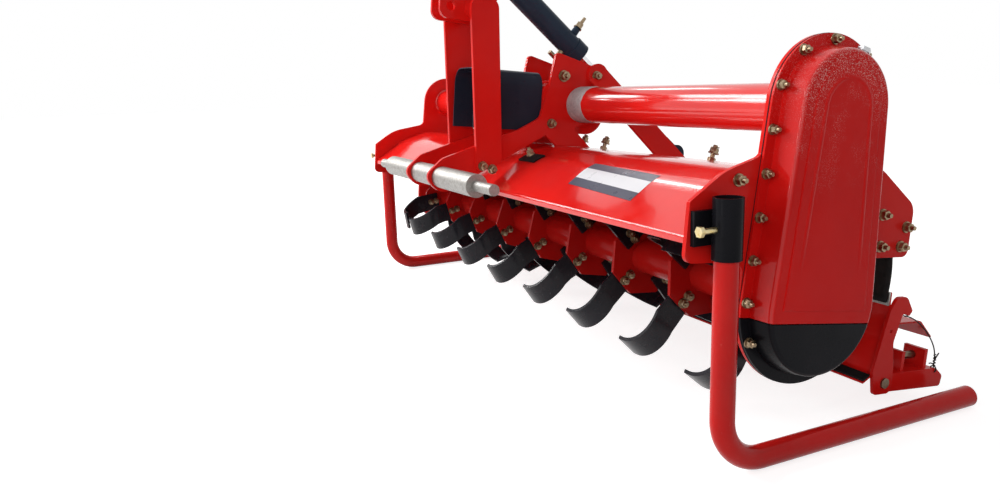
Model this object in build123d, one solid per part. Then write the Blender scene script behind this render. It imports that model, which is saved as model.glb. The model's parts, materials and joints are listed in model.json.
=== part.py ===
from build123d import *
import os
from math import atan2, cos, hypot, radians, sin, sqrt

# Tractor-mounted rotary tiller, 2 m class, parked on its two pipe stands.
# Millimetres. The drawing datum is the rotor axis: X to the machine's left,
# where the chain case is, Y to the rear, Z up, with the machine level. The
# last lines pitch it as it parks, front end up on upright stands, and move
# every piece so that the middle of the machine's footprint is the origin.

# Overall
INNER_WIDTH = 2000          # between the two side plates
ROTOR_HEIGHT = 312          # rotor axis above the floor
PARKED_PITCH = 5.5          # degrees, front end up
RUNNING_GAP = 0.05          # radial play of a turning fit
SEAT_GAP = 0.2              # play between pieces that are welded or bolted up

# Main beam, the round tube across the machine
BEAM_OD = 102
BEAM_WALL = 6
BEAM_BACK = -5              # behind the rotor axis
BEAM_RISE = 390             # above the rotor axis

# Hood, a bent sheet: its corners on the sheet's middle plane
HOOD_SHEET = 4
HOOD_FRONT = -303
HOOD_LIP_Z = 126
HOOD_FOLD_Z = 138
HOOD_KNEE_FRONT = (-196, 226)
HOOD_RIDGE_FRONT = (-95, 264)
HOOD_RIDGE_REAR = (70, 262)
HOOD_KNEE_REAR = (165, 236)
HOOD_REAR = 287
HOOD_REAR_FOLD_Z = 178
HOOD_REAR_Z = 138
HOOD_BEND = 160             # radius of the broad bends
HOOD_FOLD_BEND = 6          # radius of the two sharp folds

# Side plates
PLATE = 10
PLATE_PROUD = 7             # plate edge beyond the hood sheet
PLATE_FRONT_TOP = 205       # upper end of the upright front edge
PLATE_FRONT_LOW = 90
PLATE_REAR_LOW = 88
PLATE_SHOULDER_FRONT = (-236, 262)
PLATE_SHOULDER_REAR = (190, 270)
PLATE_REAR_TOP = 200
PLATE_NECK_Z = 295
LOBE_R = 100                # round top end about the beam
HUB_LOBE_R = 116            # round bottom end about the rotor
PLATE_CORNER = 18
PLATE_INNER_CORNER = 26

# Rotor
ROTOR_TUBE_OD = 89
ROTOR_TUBE_WALL = 9
ROTOR_END_GAP = 22          # from tube end to side plate
JOURNAL_R = 25
JOURNAL_LENGTH = 55
FLANGE_COUNT = 9
FLANGE_R = 108
FLANGE = 10
FLANGE_INSET = 62           # outer flange to side plate
FLANGE_STAGGER = 5          # degrees from one flange to the next
FLANGE_PHASE = 15           # first flange, as the rotor came to rest
BLADES_PER_FLANGE = 4
TIP_R = 245
BLADE = 8
BLADE_SHANK = 62
BLADE_ROOT_R = 58
BLADE_SCOOP = 98            # sideways reach of the bent end
BLADE_BEND = 86
BLADE_SWEEP = 66            # tip trails the shank by this

# Bearing hub on the right, chain case on the left
SPIGOT_R = 60
SPIGOT_REACH = 12           # spigot stands inside the side plate
BORE_DEPTH = 48
HUB_FLANGE_R = 101
HUB_FLANGE = 9
HUB_CAP_R = 63
HUB_CAP_DEPTH = 38
CASE_FLANGE = 7
CASE_FLANGE_RIM = 22
CASE_TOP_R = 120            # round top of the case wall at its flange
CASE_BOTTOM_R = 146
CASE_DEPTH = 50
CASE_DRAFT = 10             # degrees, lean of the wall
CASE_EDGE = 9               # rounding between wall and face
PANEL_INSET = 36            # raised panel on the face, in from the wall's foot
PANEL_RISE = 2
PANEL_FOOT = 26
SPLIT_Z = -28               # where the shoe takes over from the case
SPLIT_TILT = 3
SHOE_CLEAR = 2
PLUG_R = 13
PLUG_LENGTH = 16
PLUG_TURN = 24              # degrees to the rear of the top

# Headstock, gearbox and mast
HEADSTOCK_SPAN = 190        # outer faces of the two headstock plates
HEADSTOCK = 12
HEADSTOCK_TIP = (-100, 536)
HEADSTOCK_REAR_TOP = (52, 498)
HEADSTOCK_REAR = (66, 420)
HEADSTOCK_REAR_LOW = (58, 345)
HEADSTOCK_NOTCH = (-28, 320)
HEADSTOCK_FOOT = (-60, 52)  # front and rear of the leg on the hood
HEADSTOCK_ARCH = (-119, 295)
HEADSTOCK_ARM = (-204, 309)
HEADSTOCK_THROAT = (-141, 344)
HEADSTOCK_FRONT = (-116, 440)
MAST = 12
MAST_FOOT_REAR = (-262, 214)
MAST_FOOT_FRONT = (-338, 178)
GEARBOX_FRONT = -130
GEARBOX_REAR = 80
GEARBOX_LOW = 303
GEARBOX_HIGH = 447
GEARBOX_NOSE = 60
GEARBOX_NOSE_R = 68
PTO_R = 17.45               # 1 3/8 inch shaft
PTO_LENGTH = 85
PTO_COLLAR = 4
PTO_JOURNAL_R = 20
HITCH_Y = -440
HITCH_Z = 165
HITCH_BAR_R = 30
HITCH_SPAN = 680            # over the bar's shoulders
HITCH_PIN_R = 14.2
HITCH_PIN_LENGTH = 105
HITCH_EYE_R = 52
MAST_TUBE = (-341, 636)
MAST_TUBE_R = 30
TOP_LINK = (-413, 636)
TOP_LINK_R = 12.75
TOP_LINK_GAP = 52
LUG = 12
GUARD_SHEET = 3
GUARD_LENGTH = 215
GUARD_WIDTH = 150
GUARD_HEIGHT = 168
BRACE = 10
BRACE_WIDTH = 66
BRACE_TOP = (41, 480)
BRACE_FOOT = (180, 238)
BRACE_FOOT_X = 330          # the braces splay outwards

# Studs that stand behind the hood's ridge
STUD_X = (62, 566)
STUD_Y = 104
STUD_R = 6
STUD_LENGTH = 46
STUD_WASHER_R = 15
STUD_WASHER = 3
STUD_NUT_R = 11
STUD_NUT = 10

# Rear board and what hangs on it
HINGE = (334, 196)          # board hinge at the hood's rear edge
HINGE_PIN_R = 8
HINGE_EYE_R = 22
HINGE_ARM = 10
HINGE_ARM_X = (330, 760)
HINGE_LUG = 10
HINGE_SIDE_GAP = 1
BOARD_SHEET = 4
BOARD_TOP = (300, 2)
BOARD_KNEE_Z = -112
BOARD_FOLD = (280, -184)
BOARD_LIP = (246, -204)
BOARD_SIDE_GAP = 11         # board end to side plate
APRON = 6
APRON_BULGE = (302, 66)
APRON_LOW = 12
STRIP = 4
STRIP_HEIGHT = 30
LIP_STRIP = 5
CHEEK = 8
CHEEK_TOP_Z = -8
HOOK_REACH = 58             # hook's eye behind the board's top
HOOK_DROP = 46
WING = 8
WING_PIN = (306, -207)
WING_PIN_R = 12
WING_REAR = 512
WING_LOW = -236
WING_HIGH = -190
WING_SHELF = 64
BRACKET_HEIGHT = 46
BRACKET_EAR = 10
BRACKET_FRONT = 376
BRACKET_REAR = 464
SPINDLE_R = 9
STIFFENER_SHEET = 4
STIFFENER_Z = -76
STIFFENER_REAR = 472
POST = 6
POST_TOP = (-40, 10)        # its top edge, either side of the bracket's front
WIRE_R = 1.5

# Lift cylinder between the mast and the rear board's lever
CYLINDER_BASE = (-266, 760)
LEVER_LENGTH = 105
LEVER_ANGLE = 32.8          # above the horizontal, board down
LEVER = 12
LEVER_EYE_R = 24
CYLINDER_PIN_R = 12.5
BARREL_R = 34
BARREL_BORE_R = 27
BARREL_START = 62
BARREL_LENGTH = 370
GLAND_R = 37
GLAND_LENGTH = 38
BASE_EYE_R = 27
ROD_R = 12.5
ROD_SHOWN = 118
ROD_INSIDE = 150
LINK_R = 17
FORK_CHEEK = 12
FORK_SIDE_GAP = 2
FORK_EYE_R = 30
LEVER_PIN_R = 10
LEVER_PIN_PLAY = 7          # lost motion of the rod's eye on its pin
PORT_R = 9

# Stands
STAND_OD = 48.3
STAND_WALL = 4
STAND_PLAY = 0.6
SOCKET_OD = 57
SOCKET_TOP = 242
SOCKET_LENGTH = 116
SOCKET_Y = -232
SOCKET_PAD = 8
PAD_LENGTH = 84
PAD_HEIGHT = 66
STAND_TOP = 232
FOOT_BEND = 100
FOOT_REAR = 495
SCREW_R = 6
SCREW_LENGTH = 34
SCREW_HEAD = 8

HALF = INNER_WIDTH / 2
OUTER = HALF + PLATE
BEAM = (BEAM_BACK, BEAM_RISE)
HEADSTOCK_X = HEADSTOCK_SPAN / 2
STAND_X = OUTER + SOCKET_PAD + SOCKET_OD / 2
FOOT_Z = STAND_OD / 2 - ROTOR_HEIGHT
LEVER_END = (
    HINGE[0] + LEVER_LENGTH * cos(radians(LEVER_ANGLE)),
    HINGE[1] + LEVER_LENGTH * sin(radians(LEVER_ANGLE)),
)
CYLINDER_REACH = hypot(LEVER_END[0] - CYLINDER_BASE[0], LEVER_END[1] - CYLINDER_BASE[1])
BOARD_HALF = HALF - BOARD_SIDE_GAP
CHEEK_X = BOARD_HALF - CHEEK
WING_X = CHEEK_X - WING

parts = {}


# Shared forms

def outline(*corners):
    """Closed face from (across, up, corner radius) triples."""
    points = [corner[:2] for corner in corners]
    radii = [corner[2] for corner in corners]
    return make_face(FilletPolyline(*points, radius=radii, close=True))


def plate_at(x, thickness, face):
    """A flat plate across the machine: a face drawn in (Y, Z), from x towards +X."""
    return extrude(Plane.YZ.offset(x) * face, amount=thickness)


def bent_sheet(x_from, x_to, thickness, points, radii):
    """A sheet bent along X, from its middle line in (Y, Z)."""
    line = FilletPolyline(*points, radius=radii)
    return plate_at(x_from, x_to - x_from, trace(line, thickness))


def rod_x(radius, x_from, x_to, place):
    """A round bar along X through a (Y, Z) place."""
    middle = Pos((x_from + x_to) / 2, place[0], place[1])
    return middle * Rot(0, 90, 0) * Cylinder(radius, x_to - x_from)


def rod_y(radius, y_from, y_to, x, z):
    """A round bar along Y."""
    return Pos(x, (y_from + y_to) / 2, z) * Rot(90, 0, 0) * Cylinder(radius, y_to - y_from)


def rod_z(radius, z_from, z_to, x, y):
    """A round bar along Z."""
    return Pos(x, y, (z_from + z_to) / 2) * Cylinder(radius, z_to - z_from)


def turned_bar(radius, start, end):
    """A round bar along Z, to be set in a plane of its own."""
    return Pos(0, 0, (start + end) / 2) * Cylinder(radius, end - start)


def box(x, y, z):
    """A block from three (low, high) pairs."""
    size = [pair[1] - pair[0] for pair in (x, y, z)]
    middle = [(pair[0] + pair[1]) / 2 for pair in (x, y, z)]
    return Pos(*middle) * Box(*size)


def other_side(shape):
    """The same piece on the machine's right."""
    return mirror(shape, about=Plane.YZ)


def case_outline(top_r, bottom_r):
    """Seen from the side: round ends about the beam and the rotor, and straight flanks."""
    reach = hypot(BEAM_BACK, BEAM_RISE)
    lean = atan2(BEAM_BACK, BEAM_RISE)
    swell = (bottom_r - top_r) / reach
    flank = sqrt(1 - swell ** 2)
    corners = []
    for side in (-1, 1):
        for distance, radius in ((0, bottom_r), (reach, top_r)):
            across = side * radius * flank
            along = distance + radius * swell
            corners.append((
                across * cos(lean) + along * sin(lean),
                -across * sin(lean) + along * cos(lean),
            ))
    web = make_face(Polyline(corners[0], corners[1], corners[3], corners[2], close=True))
    return web + Circle(bottom_r) + Pos(*BEAM) * Circle(top_r)


# Main beam, hood and side plates

def beam_tube():
    outer = rod_x(BEAM_OD / 2, HEADSTOCK_X, HALF, BEAM)
    return outer - rod_x(BEAM_OD / 2 - BEAM_WALL, HEADSTOCK_X, HALF, BEAM)


HOOD_LINE = [
    (HOOD_FRONT, HOOD_LIP_Z),
    (HOOD_FRONT, HOOD_FOLD_Z),
    HOOD_KNEE_FRONT,
    HOOD_RIDGE_FRONT,
    HOOD_RIDGE_REAR,
    HOOD_KNEE_REAR,
    (HOOD_REAR, HOOD_REAR_FOLD_Z),
    (HOOD_REAR, HOOD_REAR_Z),
]
HOOD_RADII = [HOOD_FOLD_BEND, HOOD_BEND, HOOD_BEND, HOOD_BEND, HOOD_BEND, HOOD_FOLD_BEND]


def under_hood(clearance):
    """Everything below the hood's outer skin, grown by a clearance."""
    edge = FilletPolyline(*HOOD_LINE, radius=HOOD_RADII)
    closing = Polyline(HOOD_LINE[-1], HOOD_LINE[0])
    return offset(make_face([edge, closing]), HOOD_SHEET / 2 + clearance)


def side_plate(lobe_r, hub_r):
    """The left plate, with its round ends about the beam and about the rotor."""
    neck_front = BEAM_BACK - lobe_r
    neck_rear = BEAM_BACK + lobe_r
    top = BEAM_RISE + lobe_r
    front = HOOD_FRONT - PLATE_PROUD
    rear = HOOD_REAR + PLATE_PROUD
    round_top = lobe_r - 0.5
    round_hub = hub_r - 0.5
    face = outline(
        (neck_front, top, round_top),
        (neck_front, PLATE_NECK_Z, PLATE_INNER_CORNER),
        (*PLATE_SHOULDER_FRONT, HOOD_BEND),
        (front, PLATE_FRONT_TOP, PLATE_CORNER / 3),
        (front, PLATE_FRONT_LOW, PLATE_CORNER),
        (-hub_r, PLATE_FRONT_LOW, PLATE_INNER_CORNER),
        (-hub_r, -hub_r, round_hub),
        (hub_r, -hub_r, round_hub),
        (hub_r, PLATE_REAR_LOW, PLATE_INNER_CORNER),
        (rear, PLATE_REAR_LOW, PLATE_CORNER),
        (rear, PLATE_REAR_TOP, 2 * PLATE_CORNER),
        (*PLATE_SHOULDER_REAR, HOOD_BEND / 2),
        (neck_rear, PLATE_NECK_Z, PLATE_INNER_CORNER / 2),
        (neck_rear, top, round_top),
    )
    face += case_outline(lobe_r, hub_r)
    return plate_at(HALF, PLATE, face - Circle(SPIGOT_R + SEAT_GAP))


parts["main_beam_left"] = beam_tube()
parts["main_beam_right"] = other_side(parts["main_beam_left"])
parts["hood"] = bent_sheet(-HALF, HALF, HOOD_SHEET, HOOD_LINE, HOOD_RADII)
parts["side_plate_left"] = side_plate(CASE_TOP_R + CASE_FLANGE_RIM, CASE_BOTTOM_R + CASE_FLANGE_RIM)
parts["side_plate_right"] = other_side(side_plate(LOBE_R, HUB_LOBE_R))


# Rotor: a tube with bolted flanges and bent blades

def rotor_shaft():
    end = HALF - ROTOR_END_GAP
    tube = rod_x(ROTOR_TUBE_OD / 2, -end, end, (0, 0))
    hollow = end - 2 * ROTOR_TUBE_WALL
    tube -= rod_x(ROTOR_TUBE_OD / 2 - ROTOR_TUBE_WALL, -hollow, hollow, (0, 0))
    tube += rod_x(JOURNAL_R, end, end + JOURNAL_LENGTH, (0, 0))
    tube += rod_x(JOURNAL_R, -end - JOURNAL_LENGTH, -end, (0, 0))
    plate = Rot(0, 0, 90 / BLADES_PER_FLANGE) * RegularPolygon(FLANGE_R, 2 * BLADES_PER_FLANGE)
    for number, x in enumerate(flange_places()):
        turned = Rot(0, 0, flange_turn(number)) * plate
        tube += plate_at(x - FLANGE / 2, FLANGE, turned)
    return tube


def flange_places():
    first = FLANGE_INSET - HALF
    step = -2 * first / (FLANGE_COUNT - 1)
    return [first + step * number for number in range(FLANGE_COUNT)]


def flange_turn(number):
    return FLANGE_PHASE + number * FLANGE_STAGGER


def blade(side):
    """One blade, its shank up from the axis and its end bent towards side."""
    flat = sqrt(TIP_R ** 2 - BLADE_SWEEP ** 2) - BLADE / 2
    bend = FilletPolyline((0, BLADE_ROOT_R), (0, flat), (side * BLADE_SCOOP, flat), radius=BLADE_BEND)
    strip = extrude(Plane.XZ * trace(bend, BLADE), amount=TIP_R, both=True)
    half = BLADE_SHANK / 2
    shape = make_face(Polyline(
        (half, BLADE_ROOT_R),
        (half + BLADE / 2, flat * 0.62),
        (half - BLADE_SWEEP / 2, TIP_R),
        (-BLADE_SWEEP, TIP_R),
        (-half - BLADE / 2, flat * 0.66),
        (-half, BLADE_ROOT_R),
        close=True,
    ))
    return strip & plate_at(-2 * BLADE_SCOOP, 4 * BLADE_SCOOP, shape)


def rotor_blades():
    left = blade(1)
    right = blade(-1)
    offset_x = (FLANGE + BLADE) / 2
    step = 360 / BLADES_PER_FLANGE
    blades = []
    for number, x in enumerate(flange_places()):
        for turn in range(BLADES_PER_FLANGE):
            bend_left = turn % 2 == 0
            if number == 0:
                bend_left = True
            if number == FLANGE_COUNT - 1:
                bend_left = False
            form, side = (left, 1) if bend_left else (right, -1)
            angle = flange_turn(number) + turn * step
            blades.append(Pos(x + side * offset_x, 0, 0) * Rot(angle, 0, 0) * form)
    return Compound([piece.solid() for piece in blades])


parts["rotor_shaft"] = rotor_shaft()
parts["rotor_blades"] = rotor_blades()


# Bearing hub on the right, chain case on the left

def spigot_bore():
    start = HALF - SPIGOT_REACH
    return rod_x(JOURNAL_R + RUNNING_GAP, start, start + BORE_DEPTH, (0, 0))


def spigot():
    return rod_x(SPIGOT_R, HALF - SPIGOT_REACH, OUTER, (0, 0))


def hub_cover():
    flange = rod_x(HUB_FLANGE_R, OUTER, OUTER + HUB_FLANGE, (0, 0))
    cap = rod_x(HUB_CAP_R, OUTER + HUB_FLANGE, OUTER + HUB_FLANGE + HUB_CAP_DEPTH, (0, 0))
    cap = fillet(cap.edges().group_by(Axis.X)[-1], HUB_CAP_DEPTH / 2)
    return flange + cap + spigot() - spigot_bore()


def above_split(rise):
    """Everything above the joint line of case and shoe, lifted by rise."""
    sheet = Rectangle(4 * BEAM_RISE, 4 * BEAM_RISE)
    return Pos(0, SPLIT_Z + rise) * Rot(0, 0, -SPLIT_TILT) * Pos(0, 2 * BEAM_RISE) * sheet


def case_rim():
    return case_outline(CASE_TOP_R + CASE_FLANGE_RIM, CASE_BOTTOM_R + CASE_FLANGE_RIM)


def case_body():
    """The drafted wall and its rounded face, from top to bottom."""
    foot = Plane.YZ.offset(OUTER + CASE_FLANGE) * case_outline(CASE_TOP_R, CASE_BOTTOM_R)
    body = extrude(foot, amount=CASE_DEPTH, taper=CASE_DRAFT)
    return fillet(body.faces().sort_by(Axis.X)[-1].edges(), CASE_EDGE)


def chain_case():
    flange = plate_at(OUTER, CASE_FLANGE, case_rim() & above_split(0))
    body = case_body() & plate_at(OUTER, 2 * CASE_DEPTH, above_split(0))
    panel = case_outline(CASE_TOP_R - PANEL_INSET, CASE_BOTTOM_R - PANEL_INSET) & above_split(PANEL_FOOT)
    face = OUTER + CASE_FLANGE + CASE_DEPTH
    body += plate_at(face - PANEL_RISE, 2 * PANEL_RISE, panel)
    return flange + body + spigot() - spigot_bore()


def chain_case_shoe():
    flange = plate_at(OUTER, CASE_FLANGE, case_rim() - above_split(-SHOE_CLEAR))
    return flange + (case_body() - plate_at(OUTER, 2 * CASE_DEPTH, above_split(-SHOE_CLEAR)))


def filler_plug():
    base = OUTER + CASE_FLANGE + CASE_DEPTH / 2
    turn = radians(PLUG_TURN)
    wall = CASE_TOP_R - CASE_EDGE
    place = Pos(base, BEAM_BACK + wall * sin(turn), BEAM_RISE + wall * cos(turn))
    boss = Cylinder(PLUG_R * 0.75, PLUG_LENGTH, align=(Align.CENTER, Align.CENTER, Align.MIN))
    head = extrude(RegularPolygon(PLUG_R, 6), PLUG_LENGTH / 2)
    plug = place * Rot(-PLUG_TURN, 0, 0) * (boss + Pos(0, 0, PLUG_LENGTH / 2) * head)
    return plug - parts["chain_case"]


parts["bearing_hub_cover"] = other_side(hub_cover())
parts["chain_case"] = chain_case()
parts["chain_case_shoe"] = chain_case_shoe()
parts["filler_plug"] = filler_plug()


# Headstock, gearbox, mast and hitch

def headstock_plate():
    """Plate beside the gearbox: a leg down to the hood and an arm forward to the hitch bar."""
    eye = HITCH_EYE_R
    foot_front, foot_rear = HEADSTOCK_FOOT
    under = HOOD_RIDGE_REAR[1] - HEADSTOCK
    face = outline(
        (*HEADSTOCK_TIP, HEADSTOCK),
        (*HEADSTOCK_REAR_TOP, HEADSTOCK),
        (*HEADSTOCK_REAR, HEADSTOCK),
        (*HEADSTOCK_REAR_LOW, HEADSTOCK),
        (*HEADSTOCK_NOTCH, HEADSTOCK / 2),
        (foot_rear, under, HEADSTOCK / 4),
        (foot_front, under, HEADSTOCK / 4),
        (*HEADSTOCK_ARCH, HEADSTOCK / 2),
        (HITCH_Y, HITCH_Z - eye, eye * 0.9),
        (HITCH_Y - eye, HITCH_Z, eye * 0.5),
        (HITCH_Y, HITCH_Z + eye, eye * 0.9),
        (*HEADSTOCK_ARM, eye),
        (*HEADSTOCK_THROAT, eye / 2),
        (*HEADSTOCK_FRONT, eye),
    )
    face -= under_hood(SEAT_GAP)
    face -= Pos(HITCH_Y, HITCH_Z) * Circle(HITCH_BAR_R + SEAT_GAP)
    return plate_at(HEADSTOCK_X - HEADSTOCK, HEADSTOCK, face)


def brace():
    """Flat bar from a tab on the headstock plate, splayed down to the rear of the hood."""
    top = Vector(HEADSTOCK_X + BRACE / 2, *BRACE_TOP)
    run = Vector(BRACE_FOOT_X, *BRACE_FOOT) - top
    along = run.normalized()
    outward = (Vector(1, 0, 0) - along * along.X).normalized()
    section = Plane(origin=top, x_dir=outward, z_dir=along) * Rectangle(BRACE, BRACE_WIDTH)
    bar = extrude(section, amount=run.length + BRACE_WIDTH)
    bar -= plate_at(0, HEADSTOCK_X, Pos(*BRACE_TOP) * Circle(run.length))
    bar += plate_at(HEADSTOCK_X, BRACE, Pos(*BRACE_TOP) * Circle(BRACE_WIDTH / 2))
    return bar - plate_at(0, HALF, under_hood(SEAT_GAP))


def gearbox():
    face = outline(
        (GEARBOX_FRONT, GEARBOX_LOW, 25),
        (GEARBOX_REAR, GEARBOX_LOW, 60),
        (GEARBOX_REAR, GEARBOX_HIGH, 60),
        (GEARBOX_FRONT, GEARBOX_HIGH, 25),
    )
    block = plate_at(-gearbox_half(), 2 * gearbox_half(), face)
    nose_front = GEARBOX_FRONT - GEARBOX_NOSE
    block += rod_y(GEARBOX_NOSE_R, nose_front, GEARBOX_FRONT, 0, BEAM_RISE)
    bore_end = nose_front + 2 * GEARBOX_NOSE
    return block - rod_y(PTO_JOURNAL_R + RUNNING_GAP, nose_front, bore_end, 0, BEAM_RISE)


def gearbox_half():
    return HEADSTOCK_X - HEADSTOCK


def pto_shaft():
    face = GEARBOX_FRONT - GEARBOX_NOSE
    stub = rod_y(PTO_R, face - PTO_LENGTH, face, 0, BEAM_RISE)
    inner_end = face + 2 * GEARBOX_NOSE - PTO_JOURNAL_R
    return stub + rod_y(PTO_JOURNAL_R, face - PTO_COLLAR, inner_end, 0, BEAM_RISE)


def mast_plate():
    """Upright bar bolted outside the headstock's arm."""
    tube_y, tube_z = MAST_TUBE
    eye = MAST_TUBE_R + MAST
    face = outline(
        (*MAST_FOOT_REAR, MAST),
        (tube_y + eye, tube_z + eye * 0.6, eye * 0.7),
        (tube_y - eye, tube_z + eye * 0.6, eye * 0.7),
        (*MAST_FOOT_FRONT, MAST),
    )
    return plate_at(HEADSTOCK_X, MAST, face)


def mast_head():
    tube = rod_x(MAST_TUBE_R, -HEADSTOCK_X, HEADSTOCK_X, MAST_TUBE)
    lug_face = outline(
        (TOP_LINK[0] - 32, TOP_LINK[1] - 32, 26),
        (MAST_TUBE[0] + 30, MAST_TUBE[1] - 38, 20),
        (CYLINDER_BASE[0] + 32, CYLINDER_BASE[1] - 24, 20),
        (CYLINDER_BASE[0] + 24, CYLINDER_BASE[1] + 32, 24),
        (CYLINDER_BASE[0] - 30, CYLINDER_BASE[1] + 32, 24),
        (TOP_LINK[0] - 32, TOP_LINK[1] + 32, 26),
    )
    lug_face -= Pos(*TOP_LINK) * Circle(TOP_LINK_R)
    inner = TOP_LINK_GAP / 2
    lug = plate_at(inner, LUG, lug_face)
    pin = rod_x(CYLINDER_PIN_R, -inner, inner, CYLINDER_BASE)
    return tube + lug + other_side(lug) + pin


def hitch_bar():
    shoulder = HITCH_SPAN / 2
    bar = rod_x(HITCH_BAR_R, -shoulder, shoulder, (HITCH_Y, HITCH_Z))
    pins = rod_x(HITCH_PIN_R, -shoulder - HITCH_PIN_LENGTH, shoulder + HITCH_PIN_LENGTH, (HITCH_Y, HITCH_Z))
    return bar + pins


def pto_guard():
    rear = GEARBOX_FRONT - SEAT_GAP
    front = rear - GUARD_LENGTH
    top = BEAM_RISE + GUARD_HEIGHT / 2
    low = BEAM_RISE - GUARD_HEIGHT / 2
    half = GUARD_WIDTH / 2
    line = FilletPolyline((-half, low), (-half, top), (half, top), (half, low), radius=[40, 40])
    return extrude(Plane.XZ.offset(-rear) * trace(line, GUARD_SHEET), amount=rear - front)


parts["gearbox"] = gearbox()
parts["pto_shaft"] = pto_shaft()
parts["pto_guard"] = pto_guard()
parts["headstock_plate_left"] = headstock_plate()
parts["headstock_plate_right"] = other_side(parts["headstock_plate_left"])
parts["brace_left"] = brace()
parts["brace_right"] = other_side(parts["brace_left"])
parts["mast_plate_left"] = mast_plate()
parts["mast_plate_right"] = other_side(parts["mast_plate_left"])
parts["mast_head"] = mast_head()
parts["hitch_bar"] = hitch_bar()


# Studs with washer and nut, square to the hood just behind its ridge

def hood_studs():
    ridge = Vector(0, *HOOD_RIDGE_REAR)
    fall = (Vector(0, *HOOD_KNEE_REAR) - ridge).normalized()
    upright = Vector(0, -fall.Z, fall.Y)
    seat = ridge + fall * ((STUD_Y - ridge.Y) / fall.Y) + upright * (HOOD_SHEET / 2 + SEAT_GAP)
    studs = []
    for x in STUD_X:
        stud = turned_bar(STUD_R, 0, STUD_LENGTH) + turned_bar(STUD_WASHER_R, 0, STUD_WASHER)
        stud += Pos(0, 0, STUD_WASHER) * extrude(RegularPolygon(STUD_NUT_R, 6), STUD_NUT)
        stud = Plane(origin=(x, seat.Y, seat.Z), x_dir=(1, 0, 0), z_dir=upright) * stud
        studs += [stud, other_side(stud)]
    return Compound([stud.solid() for stud in studs])


parts["hood_tie_rods"] = hood_studs()


# Rear board, its hinge, cheeks, wings and ties

def board_sheet():
    line = [BOARD_TOP, (BOARD_TOP[0], BOARD_KNEE_Z), BOARD_FOLD, BOARD_LIP]
    return bent_sheet(-CHEEK_X, CHEEK_X, BOARD_SHEET, line, [60, 10])


def hinge_stations():
    return [0] + [side * x for x in HINGE_ARM_X for side in (-1, 1)]


def hinge_thickness(x):
    return LEVER if x == 0 else HINGE_ARM


def hinge_lugs():
    base = HOOD_REAR + HOOD_SHEET / 2 + SEAT_GAP
    eye = HINGE_EYE_R - 2
    face = outline(
        (base, HOOD_REAR_Z + 2, 3),
        (base, HOOD_REAR_FOLD_Z - 2, 3),
        (HINGE[0] - eye, HINGE[1] + eye, eye * 0.8),
        (HINGE[0] + eye, HINGE[1] + eye, eye * 0.8),
        (HINGE[0] + eye, HINGE[1] - eye, eye * 0.8),
    )
    pieces = []
    for x in hinge_stations():
        inner = hinge_thickness(x) / 2 + HINGE_SIDE_GAP
        pair = plate_at(x + inner, HINGE_LUG, face) + plate_at(x - inner - HINGE_LUG, HINGE_LUG, face)
        pieces.append(pair + rod_x(HINGE_PIN_R, x - inner - HINGE_LUG, x + inner + HINGE_LUG, HINGE))
    return Compound([piece.solid() for piece in pieces])


def arm_face():
    """A hinge arm from the hinge eye down the back of the board."""
    back = BOARD_TOP[0] + BOARD_SHEET / 2 + SEAT_GAP
    eye = HINGE_EYE_R
    face = outline(
        (HINGE[0] - eye, HINGE[1] + eye, eye * 0.9),
        (HINGE[0] + eye, HINGE[1] + eye, eye * 0.9),
        (HINGE[0] + eye, BOARD_TOP[1] + 40, 60),
        (back + 30, BOARD_KNEE_Z + 10, 8),
        (back, BOARD_KNEE_Z + 10, 4),
        (back, BOARD_TOP[1] - 10, 4),
        (HINGE[0] - eye, BOARD_TOP[1] + 50, 40),
    )
    return face - Pos(*HINGE) * Circle(HINGE_PIN_R + RUNNING_GAP)


def hinge_arms():
    arms = []
    for x in HINGE_ARM_X:
        arm = plate_at(x - HINGE_ARM / 2, HINGE_ARM, arm_face())
        arms += [arm, other_side(arm)]
    return Compound([arm.solid() for arm in arms])


def lift_lever():
    along = Vector(LEVER_END[0] - HINGE[0], LEVER_END[1] - HINGE[1]).normalized()
    across = Vector(-along.Y, along.X)
    root = Vector(*HINGE)
    tip = Vector(*LEVER_END)
    corners = [root + across * 20, tip + across * 14, tip - across * 14, root - across * 20]
    bar = make_face(Polyline(*[(corner.X, corner.Y) for corner in corners], close=True))
    face = arm_face() + bar + Pos(*HINGE) * Circle(HINGE_EYE_R) + Pos(*LEVER_END) * Circle(LEVER_EYE_R)
    face -= Pos(*HINGE) * Circle(HINGE_PIN_R + RUNNING_GAP)
    lever = plate_at(-LEVER / 2, LEVER, face)
    pin_half = LEVER / 2 + FORK_SIDE_GAP + FORK_CHEEK + FORK_SIDE_GAP
    lever += rod_x(LEVER_PIN_R, -pin_half, pin_half, LEVER_END)
    return lever


def apron():
    y = HOOD_REAR - HOOD_SHEET / 2 - SEAT_GAP - APRON / 2
    line = [(y, HOOD_REAR_FOLD_Z - 6), (y, HOOD_REAR_Z - 14), APRON_BULGE, (y + 2, APRON_LOW)]
    return bent_sheet(-BOARD_HALF, BOARD_HALF, APRON, line, [50, 70])


def apron_strip():
    rear = BOARD_TOP[0] - BOARD_SHEET / 2 - SEAT_GAP
    return box((-CHEEK_X, CHEEK_X), (rear - STRIP, rear), (BOARD_TOP[1] - STRIP_HEIGHT, BOARD_TOP[1]))


def lip_strip():
    lip = Vector(*BOARD_LIP)
    fold = Vector(*BOARD_FOLD)
    along = (fold - lip).normalized()
    up = Vector(-along.Y, along.X) * (BOARD_SHEET / 2 + SEAT_GAP + LIP_STRIP / 2)
    start = lip + along * 3 + up
    end = lip + along * ((fold - lip).length - 14) + up
    line = Line((start.X, start.Y), (end.X, end.Y))
    return plate_at(-CHEEK_X, 2 * CHEEK_X, trace(line, LIP_STRIP))


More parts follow.
